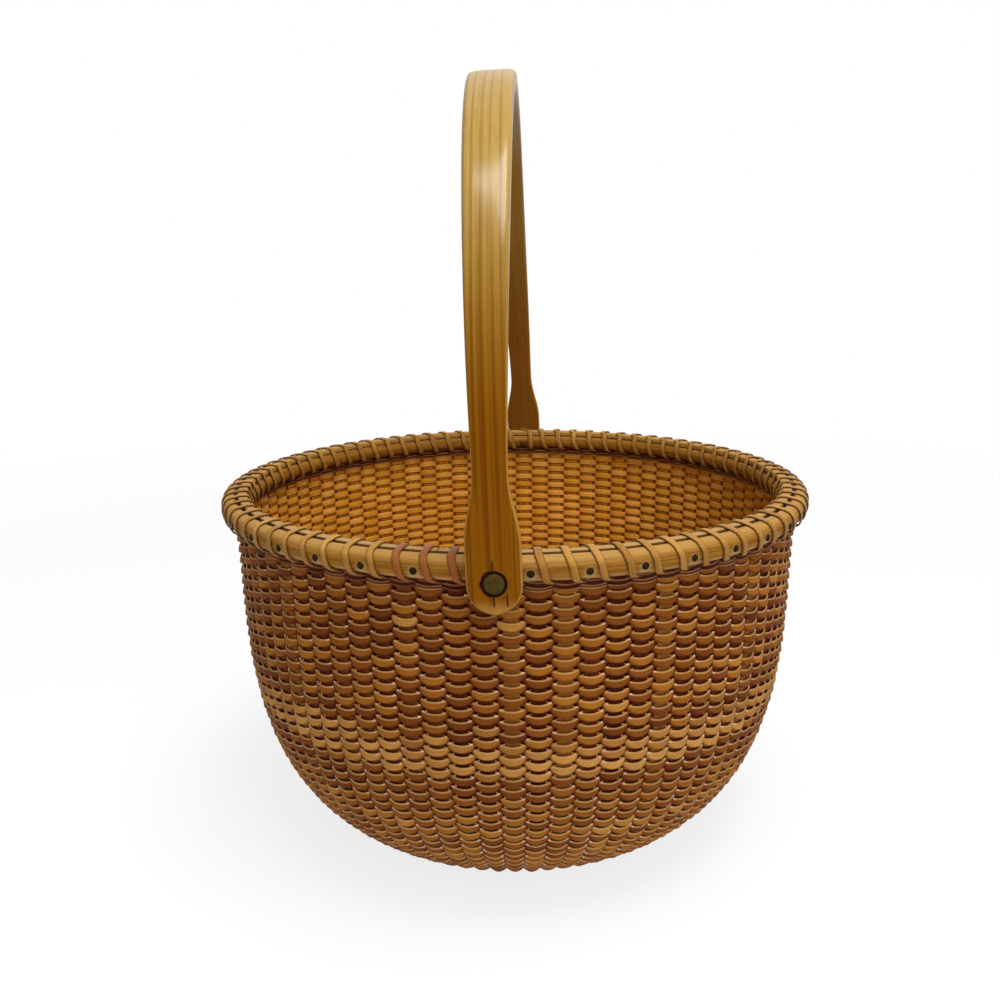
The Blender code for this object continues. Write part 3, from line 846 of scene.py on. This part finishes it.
def rim_finish(net):
    """Hoop wood: honey tone, grain along the hoop, stains under the nails; painted highlight on
    top, painted shade below and at the cap's front.
    """
    x, y, z, radius = net.round_place()
    girth, = net.attributes("girth")
    broad = net.noise(x * 30, y * 30, girth * 900, 3.0, 0.6)
    fine = net.noise(x * 90, y * 90, girth * 3800)
    # Painted highlight over the upper part of the hoops and cap, as if lit from above
    high = z.smooth(RIM_TOP - 0.0042, RIM_TOP - 0.0006)
    # Painted shade: the cap's top painted duller towards the front, for how the light falls there
    front_cap_shade = (radius < SEAM_RADIUS) * (z > RIM_TOP - 0.0024) * (-y / radius).smooth(0.2, 0.9)
    colour = net.coats(
        net.mix(broad.smooth(0.35, 0.70), sizes().rim_light, RIM_BROAD),
        (fine.smooth(0.58, 0.72) * 0.55, RIM_FINE), (high * 0.50, RIM_PAINTED_HIGHLIGHT),
        (front_cap_shade * 0.7, RIM_FRONT_CAP_SHADE))
    outside = radius > OUTER_HOOP_FLAT + 0.0015
    sway = (net.noise(x * 35, y * 35, 0.0) - 0.5) * 0.0012
    for share, strength, depth in HOOP_LINES:
        line = z + sway * share - (HOOP_BOTTOM + (RIM_TOP - HOOP_BOTTOM) * share)
        thin = line.abs().smooth(depth, depth * 0.3) * broad.smooth(0.62, 0.45)
        colour = net.mix(thin * outside * strength, colour, RIM_LINE)
    low_band = z.smooth(HOOP_BOTTOM + 0.0026, HOOP_BOTTOM + 0.0018) * outside
    stave = net.math("ARCTAN2", x, -y) / PITCH
    beside = ((stave - NAIL_STAVE) * 0.5 + 0.5).fraction() * 2 - 1
    sideways = beside * PITCH * radius
    upward = z - NAIL_HEIGHT + 0.0005
    away_mm = (sideways * sideways + upward * upward).root() * 1000
    halo = (away_mm + net.specks(700) * 1.2).smooth(3.3, 1.6) * (radius > OUTER_HOOP_FLAT)
    # Painted shade along the hoops' lower edge
    foot = z.smooth(HOOP_BOTTOM + 0.0008, HOOP_BOTTOM + 0.0003)
    seam = ((radius - SEAM_RADIUS - 0.0004).abs().smooth(0.0011, 0.0008)
            * (z > RIM_TOP - 0.0016))
    colour = net.coats(colour, (low_band * 0.45, RIM_LOW), (halo * 0.5, RIM_HALO),
                       (foot * 0.75, RIM_FOOT_SHADE), (seam * 0.95, RIM_SEAM))
    return net.finish(colour, 0.34 + fine * 0.2, 0.05, fine * 0.6 + broad, 0.00025)


class BASKET_OT_hoops(Operator):
    """Fit the two half-round hoops"""

    bl_idname = "basket.hoops"
    bl_label = "Hoops"

    def execute(self, context):
        material = finish_material("rim_wood", rim_finish)
        outer = ring_piece("outer_hoop_wood", outer_section(), material)
        place_piece(outer, "basket", "rim_wood", "outer_hoop")
        inner = ring_piece("inner_hoop_wood", inner_section(), material)
        place_piece(inner, "basket", "rim_wood", "inner_hoop")
        return {"FINISHED"}


class BASKET_OT_cap(Operator):
    """Lay the cap strip over hoops and staves, in the hoops' wood"""

    bl_idname = "basket.cap"
    bl_label = "Cap"

    def execute(self, context):
        material = bpy.data.objects["outer_hoop_wood"].data.materials[0]
        half_gap = CAP_JOINT_GAP / 2 / RIM_RADIUS
        cap = ring_piece("cap_strip", cap_section(), material,
                         math.radians(CAP_JOINT_DEG) + half_gap, 2 * math.pi - 2 * half_gap)
        place_piece(cap, "basket", "rim_wood", "rim_cap")
        return {"FINISHED"}


LASH_STEPS = 44
LASH_SIDES = 8
LASH_END_DEG = 165
LASH_SLACK = 0.0004
# How far along its pitch the strand has come where it faces so many degrees outwards
# from straight up, and the same for the turn that crosses clear of the back rivet
LASH_ADVANCE_SHARES = ((-165, 0), (-90, 0.22), (-30, 0.46), (25, 0.48), (60, 0.54),
                       (90, 0.63), (125, 0.71), (165, 1))
LASH_DETOUR_SHARES = ((-165, 0), (-90, 0.03), (-35, 0.12), (30, 0.85), (60, 0.93),
                      (125, 0.98), (165, 1))

LASH_TONES = ((0.0, (0.27, 0.115, 0.014)), (0.5, (0.34, 0.160, 0.024)),
              (1.0, (0.43, 0.215, 0.040)))
LASH_LOW_SHADE = (0.20, 0.088, 0.009)
LASH_PALE_FIBRE = (0.60, 0.34, 0.12)
LASH_DARK_FIBRE = (0.20, 0.075, 0.018)
LASH_STAIN = (0.23, 0.062, 0.014)
LASH_EDGE_SHADE = (0.075, 0.022, 0.006)
STAINED_TURNS = (77, 79)
TURN_OFFSET = 0.01


def lash_path(distance):
    """The lashing's way round the rim, inner foot to outer foot, at a distance from it.

    Each place is (radius, height, facing in degrees from straight up, outwards).
    """
    hull = outer_section() + inner_section() + cap_section()
    path = []
    for step in range(LASH_STEPS + 1):
        facing = LASH_END_DEG * (2 * step / LASH_STEPS - 1)
        aside, up = math.sin(math.radians(facing)), math.cos(math.radians(facing))
        best = max(hull, key=lambda point: point[0] * aside + point[1] * up)
        away = distance + LASH_SLACK * smooth_step((abs(facing) - 95) / 50)
        path.append((best[0] + aside * away, best[1] + up * away, facing))
    return path


def read_pairs(pairs, place):
    """Read a value between the (place, value) pairs of a table."""
    for (low, first), (high, second) in zip(pairs, pairs[1:]):
        if place <= high:
            return first + (second - first) * (place - low) / (high - low)
    return pairs[-1][1]


def lash_finish(net):
    """Lashing cane: tone by turn, painted shade along the edges and down the outer face, three
    turns freshly stained.
    """
    turn, across, along = net.attributes("turn", "across", "along")
    chance = net.chance(turn.floor())
    fibre = net.noise(along * 60, across * 7, chance * 30, 3.0, 0.6)
    stained = (turn > STAINED_TURNS[0] - TURN_OFFSET) * (turn < STAINED_TURNS[1] + 1)
    colour = net.coats(
        net.ramp(chance, *LASH_TONES),
        # Darker down the outer face than over the top: partly the cane's tone, partly painted
        # shade
        (net.place()[2].smooth(RIM_TOP - 0.0012, RIM_TOP - 0.0040) * 0.65, LASH_LOW_SHADE),
        (fibre.smooth(0.48, 0.72) * 0.5, LASH_PALE_FIBRE),
        (fibre.smooth(0.45, 0.25) * 0.5, LASH_DARK_FIBRE),
        # Dark edges: painted shade in the gaps beside each turn
        (stained * 0.85, LASH_STAIN), (across.abs().smooth(0.66, 0.95) * 0.75, LASH_EDGE_SHADE))
    return net.finish(colour, 0.36 + fibre * 0.12 - stained * 0.12, 0.07, fibre, 0.00015)


class BASKET_OT_lashing(Operator):
    """Wind the lashing round the rim, one turn in each gap between staves"""

    bl_idname = "basket.lashing"
    bl_label = "Lashing"

    def execute(self, context):
        given = sizes()
        path = lash_path(SEAT_GAP * 0.5 + given.lash_thickness / 2)
        lengths = running_lengths([place[:2] for place in path])
        points = []
        for turn in range(1, STAVE_COUNT - 1):
            table = LASH_DETOUR_SHARES if turn == STAVE_COUNT // 2 else LASH_ADVANCE_SHARES
            for (radius, height, facing), travelled in zip(path, lengths):
                angle = (turn + read_pairs(table, facing)) * PITCH
                aside, up = math.sin(math.radians(facing)), math.cos(math.radians(facing))
                for corner in range(LASH_SIDES):
                    spin = 2 * math.pi * corner / LASH_SIDES
                    across = signed_power(math.cos(spin), 0.6)
                    rise = signed_power(math.sin(spin), 0.8) * given.lash_thickness / 2
                    spot = on_ring(radius + aside * rise,
                                   angle + across * given.lash_width / 2 / radius,
                                   height + up * rise)
                    points.append((spot, turn + TURN_OFFSET, across,
                                   turn * lengths[-1] + travelled))
        spots, turns, sides, run = zip(*points)
        faces = tube_faces(len(points) // LASH_SIDES, LASH_SIDES)
        made = add_object("lashing", spots, faces, finish_material("lashing_cane", lash_finish))
        store(made, turn=turns, across=sides, along=run)
        place_piece(made, "basket", "lashing_cane", "rim_lashing")
        return {"FINISHED"}


def turned_piece(name, profile, steps, material, smooth_deg=40):
    """Turn a profile of (radius, height) about Z; ends on the axis close in a point."""
    points, faces, rings = [], [], []
    for radius, height in profile:
        count = steps if radius > 0 else 1
        rings.append(range(len(points), len(points) + count))
        for step in range(count):
            points.append(on_ring(radius, 2 * math.pi * step / steps, height))
    for lower, upper in zip(rings, rings[1:]):
        for step in range(steps):
            after = (step + 1) % steps
            corners = (lower[step % len(lower)], lower[after % len(lower)],
                       upper[after % len(upper)], upper[step % len(upper)])
            faces.append(tuple(dict.fromkeys(corners)))
    return add_object(name, points, faces, material, smooth_deg)


def face_outwards(made, angle, radius, height):
    """Turn a piece made along +Z to point outwards at an angle round the basket."""
    turn = Matrix.Rotation(angle, 4, "Z") @ Matrix.Rotation(math.radians(90), 4, "X")
    made.data.transform(Matrix.Translation(on_ring(radius, angle, height)) @ turn)


NAIL_TONES = ((0.006, 0.002, 0.001), (0.045, 0.028, 0.009))
NAIL_STEPS = 16
# Shares of the head's radius and heights along the nail, from the head's top to the point
NAIL_OUTLINE = ((0, 0.0005), (0.5, 0.00046), (0.85, 0.00028), (1, 0.00006), (0.94, -0.0001),
                (0.45, -0.0001), (0.3, -0.0024), (0, -0.0031))
NAIL_LIFT = 0.0001


def nail_finish(net):
    """Dark tarnished nail heads."""
    speck = net.specks(2500)
    colour = net.mix(speck.smooth(0.4, 0.7), *NAIL_TONES)
    return net.finish(colour, 0.60 + speck * 0.2, 0.05, speck, 0.0001)


def hoop_face_radius(height):
    """Radius of the outer hoop's face at a height."""
    section = outer_section()
    for (first, top), (second, low) in zip(section, section[1:]):
        if low <= height <= top:
            return first + (second - first) * (top - height) / (top - low)
    return RIM_RADIUS


class BASKET_OT_nails(Operator):
    """Set the nails in the outer hoop"""

    bl_idname = "basket.nails"
    bl_label = "Nails"

    def execute(self, context):
        material = finish_material("nail_metal", nail_finish)
        profile = [(sizes().nail_radius * share, height) for share, height in NAIL_OUTLINE]
        shape = turned_piece("nail_shape", profile, NAIL_STEPS, material)
        face_outwards(shape, 0, hoop_face_radius(NAIL_HEIGHT) + NAIL_LIFT, NAIL_HEIGHT)
        net = round_tree("Nail ring", FIRST_NAIL * 2 + NAIL_STAVE, 2.0)
        made = grow("nails", net, {
            "Shape": shape, "Count": NAIL_COUNT, "Stave angle": PITCH, "Material": material})
        close_object(made)
        bpy.data.objects.remove(shape)
        names = [f"nail_{number:02d}" for number in range(1, NAIL_COUNT + 1)]
        place_piece(made, "basket", "nail_metal", *names)
        return {"FINISHED"}


EAR_WIDTH = 0.0182
EAR_THICKNESS = 0.0056
EAR_DROP = 0.0104
EAR_STRAIGHT = 0.0130
NECK_WIDTH = 0.0114
NECK_HEIGHT = 0.0348
NECK_LENGTH = 0.0050
GRIP_WIDTH = 0.0184
GRIP_THICKNESS = 0.0068
HANDLE_HEIGHT = 0.1671
HANDLE_LEAN_DEG = 2.0
BOW_TWIST_DEG = 1.0
HANDLE_RADIUS = 0.1329
HANDLE_EDGE_POWER = 0.36
CROWN_HEIGHT = HANDLE_HEIGHT + RIM_TOP - PIVOT.z
EAR_END_STEPS = 14
EAR_STEPS = 10
NECK_STEPS = 14
BOW_STEPS = 44
HANDLE_SIDES = 28
RECESS_RADIUS = 0.0044
RECESS_DEPTH = 0.0009
RIVET_STEPS = 48


def handle_stations():
    """(outward, up, half width, thickness, slope, run) along one side, ear end to crown."""
    ear_centre = EAR_WIDTH / 2 - EAR_DROP
    spring = CROWN_HEIGHT - HANDLE_RADIUS
    straight = []
    for step in range(EAR_END_STEPS):
        angle = math.radians(90) * (step + 0.35) / EAR_END_STEPS
        straight.append(ear_centre - EAR_WIDTH / 2 * math.cos(angle))
    for step in range(EAR_STEPS):
        straight.append(ear_centre + (EAR_STRAIGHT - ear_centre) * step / EAR_STEPS)
    for step in range(NECK_STEPS + 1):
        straight.append(EAR_STRAIGHT + (spring - EAR_STRAIGHT) * step / NECK_STEPS)
    places = [(HANDLE_RADIUS, up, 0.0, up) for up in straight]
    for step in range(1, BOW_STEPS + 1):
        angle = math.pi / 2 * step / BOW_STEPS
        places.append((HANDLE_RADIUS * math.cos(angle), spring + HANDLE_RADIUS * math.sin(angle),
                       angle, spring + HANDLE_RADIUS * angle))
    full = places[-1][3]
    neck_end = NECK_HEIGHT + NECK_LENGTH
    stations = []
    for outward, up, slope, run in places:
        if up < ear_centre:
            half = math.sqrt(max((EAR_WIDTH / 2) ** 2 - (up - ear_centre) ** 2, 0.0))
        else:
            narrow = smooth_step((run - EAR_STRAIGHT) / (NECK_HEIGHT - EAR_STRAIGHT))
            widen = round_step((run - neck_end) / (full - neck_end))
            half = (EAR_WIDTH + (NECK_WIDTH - EAR_WIDTH) * narrow
                    + (GRIP_WIDTH - NECK_WIDTH) * widen) / 2
        thicken = smooth_step((run - EAR_STRAIGHT) / (spring + NECK_LENGTH - EAR_STRAIGHT))
        thickness = EAR_THICKNESS + (GRIP_THICKNESS - EAR_THICKNESS) * thicken
        stations.append((outward, up, half, thickness, slope, run))
    return stations


def handle_section(station, side):
    """Rounded section: (spot, run, across, depth share, width share) for each corner."""
    outward, up, half, thickness, slope, run = station
    lift = smooth_step(up / CROWN_HEIGHT)
    twist = -math.tan(math.radians(BOW_TWIST_DEG)) * side * outward * lift
    corners = []
    for corner in range(HANDLE_SIDES):
        spin = 2 * math.pi * (corner + 0.5) / HANDLE_SIDES
        across = half * signed_power(math.cos(spin), HANDLE_EDGE_POWER)
        deep = 0.5 - 0.5 * signed_power(math.sin(spin), HANDLE_EDGE_POWER)
        depth = deep * thickness
        spot = Vector((across + twist, side * (outward - depth * math.cos(slope)),
                       up - depth * math.sin(slope)))
        corners.append((spot, run, across, deep, across / half))
    return corners


# The legs' and ears' darker tone stands in for shade
HANDLE_LEG_SHADE = (0.195, 0.066, 0.0012)
HANDLE_LOW_GRAIN = (0.125, 0.038, 0.0008)
HANDLE_GRAIN = (0.23, 0.115, 0.012)
HANDLE_PORE = (0.13, 0.045, 0.008)
HANDLE_INNER = (0.15, 0.055, 0.008)
HANDLE_EDGE = (0.48, 0.25, 0.06)
HANDLE_CRACK = (0.060, 0.010, 0.003)
# Near-black painted shade for the rivet's recess
RECESS_SHADE_TONES = ((0.008, 0.002, 0.002), (0.030, 0.010, 0.008))


def handle_finish(net):
    """Varnished ash: long dark grain lines, paler over the crown as painted light, browner at the
    ears as painted shade.
    """
    run, across, deep, side = net.attributes("run", "across", "deep", "side")
    wander = net.noise(run * 9, 0.0, 0.0, 1.0) * 0.0012
    lines = net.noise(run * 2.5, (across + wander) * 520, deep * 2.2, 3.0, 0.55)
    pores = net.noise(run * 75, across * 3600, deep * 9)
    # Paler towards the crown: painted light from above, the legs and ears painted darker as shade
    high = run.smooth(0.045, 0.140)
    tip = run.smooth(-0.0045, -0.0095) * 0.45
    rim = side.abs().smooth(0.91, 0.965) * (1 - high) * 0.55
    left = (across + 0.0003).abs().smooth(0.00045, 0.00010) * run.smooth(0.0085, 0.0060)
    right = (across - 0.0040).abs().smooth(0.00045, 0.00010) * run.smooth(-0.0030, -0.0040)
    crack = (left + right).clamp() * run.smooth(-0.0085, -0.0070) * (1 - deep.smooth(0.1, 0.3))
    colour = net.coats(
        net.mix(high, HANDLE_LEG_SHADE, sizes().handle_crown_lit),
        (lines.smooth(0.45, 0.62), net.mix(high, HANDLE_LOW_GRAIN, HANDLE_GRAIN)),
        (pores.smooth(0.58, 0.70) * 0.45, HANDLE_PORE),
        (deep.smooth(0.75, 1.0) * 0.55, HANDLE_INNER),
        ((rim + tip).clamp(), HANDLE_EDGE), (crack * 0.85, HANDLE_CRACK))
    relief = lines * 0.5 + pores * 0.5 - crack * 3
    return net.finish(colour, 0.34 + pores * 0.16, 0.02, relief, 0.00018,
                      Coat_Weight=run.smooth(0.080, 0.120) * 0.5, Coat_Roughness=0.20)


def painted_recess_finish(net):
    """Painted shade: near black in the rivet's recess."""
    speck = net.specks(1500)
    return net.finish(net.mix(speck, *RECESS_SHADE_TONES), 0.6 + speck * 0.2, 0.1)


def cut_recess(made, side, recess_shade_material):
    """Sink the rivet's recess and hole in the ear at an angle round the basket."""
    floor = HANDLE_RADIUS - RECESS_DEPTH
    profile = [(0, 0.10), (0.0015, 0.10), (0.0015, floor), (RECESS_RADIUS * 0.93, floor),
               (RECESS_RADIUS, floor + 0.0003), (RECESS_RADIUS * 1.02, 0.14), (0, 0.14)]
    cutter = turned_piece("ear_cutter", profile, RIVET_STEPS, recess_shade_material)
    face_outwards(cutter, side, 0, 0)
    cut = made.modifiers.new("recess", "BOOLEAN")
    cut.operation = "DIFFERENCE"
    cut.solver = "EXACT"
    cut.material_mode = "TRANSFER"
    cut.object = cutter
    settle(made, cut)
    bpy.data.objects.remove(cutter)


class BASKET_OT_handle(Operator):
    """Bend the handle with its two ears"""

    bl_idname = "basket.handle"
    bl_label = "Handle"

    def execute(self, context):
        stations = handle_stations()
        rows = [(station, -1) for station in stations]
        rows += [(station, 1) for station in reversed(stations[:-1])]
        points = [corner for row in rows for corner in handle_section(*row)]
        spots, run, across, deep, sides = zip(*points)
        faces = tube_faces(len(rows), HANDLE_SIDES)
        made = add_object("handle_bow", spots, faces,
                          finish_material("handle_wood", handle_finish))
        store(made, run=run, across=across, deep=deep, side=sides)
        recess_shade_material = finish_material("recess_painted_shade", painted_recess_finish)
        made.data.materials.append(recess_shade_material)
        for side in (0, math.pi):
            cut_recess(made, side, recess_shade_material)
        made.data.transform(Matrix.Translation(PIVOT)
                            @ Matrix.Rotation(math.radians(-HANDLE_LEAN_DEG), 4, "Y"))
        made.data.set_sharp_from_angle(angle=math.radians(40))
        place_piece(made, "handle", "handle_wood", "handle")
        return {"FINISHED"}


BRASS_BLOT = (0.038, 0.022, 0.002)
RIVET_HEAD_RADIUS = 0.0034
RIVET_CROWN = 0.0015
SHANK_RADIUS = 0.0012
RIVET_DOME_STEPS = 6


def brass_finish(net):
    """Tarnished brass, olive brown with darker blots."""
    blot = net.specks(600, 3.0, 0.6)
    colour = net.mix(blot.smooth(0.35, 0.70), sizes().brass_tone, BRASS_BLOT)
    return net.finish(colour, 0.45 + blot * 0.25, 0.15, blot, 0.0001, Metallic=0.35)


def rivet_profile():
    """Rivet outline about its axis: small peened tail, shank and low domed head."""
    head = HANDLE_RADIUS - RECESS_DEPTH + 0.0002
    tail = STAVE_RIM_RADIUS - sizes().stave_thickness - INNER_HOOP_THICKNESS - 2 * SEAT_GAP
    profile = [(0, tail - 0.0006), (0.0010, tail - 0.00055), (0.0016, tail - 0.0003),
               (0.0018, tail), (SHANK_RADIUS, tail), (SHANK_RADIUS, head),
               (RIVET_HEAD_RADIUS * 0.96, head), (RIVET_HEAD_RADIUS, head + 0.0002)]
    for step in range(RIVET_DOME_STEPS + 1):
        turn = math.pi / 2 * step / RIVET_DOME_STEPS
        across = RIVET_HEAD_RADIUS * 0.985 * math.cos(turn) if step < RIVET_DOME_STEPS else 0
        profile.append((across, head + RIVET_CROWN * (0.66 + 0.34 * math.sin(turn))))
    return profile


class BASKET_OT_rivets(Operator):
    """Set the two rivets"""

    bl_idname = "basket.rivets"
    bl_label = "Rivets"

    def execute(self, context):
        material = finish_material("aged_brass", brass_finish)
        for side, name in ((0, "front"), (math.pi, "back")):
            rivet = turned_piece(f"rivet_{name}_brass", rivet_profile(), RIVET_STEPS, material)
            face_outwards(rivet, side, 0, PIVOT.z)
            place_piece(rivet, "basket", "aged_brass", f"rivet_{name}")
        return {"FINISHED"}


PLATE_GRAIN = ((0.45, 0.21, 0.055), (0.28, 0.105, 0.026))
PLATE_PORE = (0.15, 0.055, 0.016)
PLATE_STEPS = 128
PLATE_SMOOTH_DEG = 30
PLATE_EDGE_ROUND = 0.0012
GROOVE_DEPTH = 0.0060
FOOT_WIDTH = 0.0110
FOOT_RECESS = 0.0008
TURNED_LINE_DEPTH = 0.0004


def base_finish(net):
    """Turned plate: straight grain and faint turning rings under varnish."""
    x, y, z, radius = net.round_place()
    grain = net.noise(x * 9, y * 160, z * 60, 4.0, 0.6)
    pores = net.noise(x * 60, y * 1500, z * 300)
    rings = (radius * 5200).sin()
    colour = net.coats(net.mix(grain.smooth(0.35, 0.68), *PLATE_GRAIN),
                       (pores.smooth(0.56, 0.70) * 0.5, PLATE_PORE))
    return net.finish(colour, 0.38 + pores * 0.15, 0.5, pores + rings * 0.15, 0.0001)


class BASKET_OT_base(Operator):
    """Turn the base plate with its groove"""

    bl_idname = "basket.base"
    bl_label = "Base plate"

    def execute(self, context):
        edge, top, soft = BASE_RADIUS, BASE_THICKNESS, PLATE_EDGE_ROUND
        groove = edge - GROOVE_DEPTH
        groove_low = ROOT_HEIGHT - SEAT_GAP
        groove_high = ROOT_HEIGHT + sizes().stave_thickness + SEAT_GAP
        foot = edge - FOOT_WIDTH
        line = top - TURNED_LINE_DEPTH
        profile = [(0, FOOT_RECESS), (foot - 0.0010, FOOT_RECESS), (foot - 0.0002, 0.0003),
                   (foot, 0), (edge - soft, 0), (edge - soft * 0.3, soft * 0.3), (edge, soft),
                   (edge, groove_low), (groove, groove_low), (groove, groove_high),
                   (edge, groove_high), (edge, top - soft), (edge - soft * 0.3, top - soft * 0.3),
                   (edge - soft, top), (edge * 0.62, top), (edge * 0.61, line),
                   (edge * 0.60, line), (edge * 0.59, top), (0, top)]
        made = turned_piece("base_disc", profile, PLATE_STEPS,
                            finish_material("base_wood", base_finish), PLATE_SMOOTH_DEG)
        place_piece(made, "basket", "base_wood", "base_plate")
        return {"FINISHED"}


# Camera, as found from the photograph
CAMERA_DISTANCE = 0.4275
CAMERA_HEIGHT = RIM_TOP + 0.0929
CAMERA_AZIMUTH_DEG = 2.85
CAMERA_PITCH_DEG = 13.742
CAMERA_ROLL_DEG = -0.792
CAMERA_YAW_DEG = -0.836
CAMERA_LENS_MM = 35.08

# Studio: world strength, floor, and each lamp's name, place, target, size and power
WORLD_STRENGTH = 0.45
FLOOR_REACH = 6.0
FLOOR_GREY = (0.9, 0.9, 0.9)
WHITE = (1, 1, 1)
LAMPS = (("top_lamp", (0.20, -0.28, 1.30), (0, 0, 0.1), 0.6, 14),
         ("front_lamp", (0.40, -1.00, 0.75), (0, 0, 0.12), 0.8, 5))


def add_camera():
    """The photograph's camera."""
    yaw = math.radians(CAMERA_YAW_DEG)
    pitch = math.radians(CAMERA_PITCH_DEG)
    roll = math.radians(CAMERA_ROLL_DEG)
    ahead = Vector((math.sin(yaw), math.cos(yaw), 0))
    right = Vector((math.cos(yaw), -math.sin(yaw), 0))
    forward = ahead * math.cos(pitch) - Vector((0, 0, math.sin(pitch)))
    up = ahead * math.sin(pitch) + Vector((0, 0, math.cos(pitch)))
    across = right * math.cos(roll) + up * math.sin(roll)
    upright = up * math.cos(roll) - right * math.sin(roll)
    axes = Matrix((across, upright, -forward)).transposed().to_4x4()
    place = Matrix.Translation((0, -CAMERA_DISTANCE, CAMERA_HEIGHT))
    lens = bpy.data.cameras.new("photo_camera")
    lens.lens = CAMERA_LENS_MM
    lens.sensor_width = 36
    lens.clip_start = 0.01
    camera = link_new("photo_camera", lens)
    camera.matrix_world = Matrix.Rotation(math.radians(CAMERA_AZIMUTH_DEG), 4, "Z") @ place @ axes
    bpy.context.scene.camera = camera


def add_lamp(name, place, target, size, power):
    """A square soft lamp that looks at a point."""
    light = bpy.data.lights.new(name, "AREA")
    light.size = size
    light.energy = power
    lamp = link_new(name, light)
    lamp.location = place
    direction = Vector(target) - Vector(place)
    lamp.rotation_euler = direction.to_track_quat("-Z", "Y").to_euler()


def white_for_camera(net, shader, share):
    """Mix a shader with plain white for camera, mirror and glass rays."""
    path = net.node("ShaderNodeLightPath", {}, {}, "Is Camera Ray")
    seen = (path + path.other("Is Glossy Ray") + path.other("Is Transmission Ray")).clamp()
    white = net.node("ShaderNodeEmission", {}, {"Color": WHITE, "Strength": 1.0})
    return net.node("ShaderNodeMixShader", {}, {0: seen * share, 1: shader, 2: white})


def add_floor():
    """A wide matte floor that keeps the basket's shadow."""
    reach = FLOOR_REACH
    mesh = bpy.data.meshes.new("floor")
    mesh.from_pydata([(-reach, -reach, 0), (reach, -reach, 0), (reach, reach, 0),
                      (-reach, reach, 0)], [], [(0, 1, 2, 3)])
    material = bpy.data.materials.new("floor_white")
    net = empty_net(material)
    matte = net.node("ShaderNodeBsdfDiffuse", {}, {"Color": FLOOR_GREY})
    far = net.round_place()[3].smooth(0.30, 1.1)
    net.node("ShaderNodeOutputMaterial", {}, {
        "Surface": white_for_camera(net, matte, far * 0.2 + 0.8)})
    mesh.materials.append(material)
    link_new("floor", mesh)


class BASKET_OT_stage(Operator):
    """Set up the camera, floor, lamps and world"""

    bl_idname = "basket.stage"
    bl_label = "Stage"

    def execute(self, context):
        scene = bpy.context.scene
        scene.view_settings.view_transform = "Standard"
        add_camera()
        scene.world = bpy.data.worlds.new("studio")
        net = empty_net(scene.world)
        soft = net.node("ShaderNodeBackground", {}, {"Color": WHITE, "Strength": WORLD_STRENGTH})
        net.node("ShaderNodeOutputWorld", {}, {"Surface": white_for_camera(net, soft, 1.0)})
        add_floor()
        for lamp in LAMPS:
            add_lamp(*lamp)
        return {"FINISHED"}


class BASKET_PT_panel(Panel):
    """Buttons that build the basket piece by piece"""

    bl_label = "Basket"
    bl_idname = "BASKET_PT_panel"
    bl_space_type = "VIEW_3D"
    bl_region_type = "UI"
    bl_category = "Basket"

    def draw(self, context):
        for name in BasketSizes.__annotations__:
            self.layout.prop(context.scene.basket_sizes, name)
        for step in STEPS:
            self.layout.operator(step.bl_idname)


STEPS = (BASKET_OT_stage, BASKET_OT_base, BASKET_OT_staves, BASKET_OT_weave, BASKET_OT_hoops,
         BASKET_OT_cap, BASKET_OT_lashing, BASKET_OT_nails, BASKET_OT_handle, BASKET_OT_rivets)
CLASSES = (BasketSizes, *STEPS, BASKET_PT_panel)


def register():
    for item in CLASSES:
        bpy.utils.register_class(item)
    bpy.types.Scene.basket_sizes = PointerProperty(type=BasketSizes)


def unregister():
    del bpy.types.Scene.basket_sizes
    for item in reversed(CLASSES):
        bpy.utils.unregister_class(item)


def main():
    register()
    for step in STEPS:
        group, name = step.bl_idname.split(".")
        getattr(getattr(bpy.ops, group), name)()


if __name__ == "__main__":
    main()
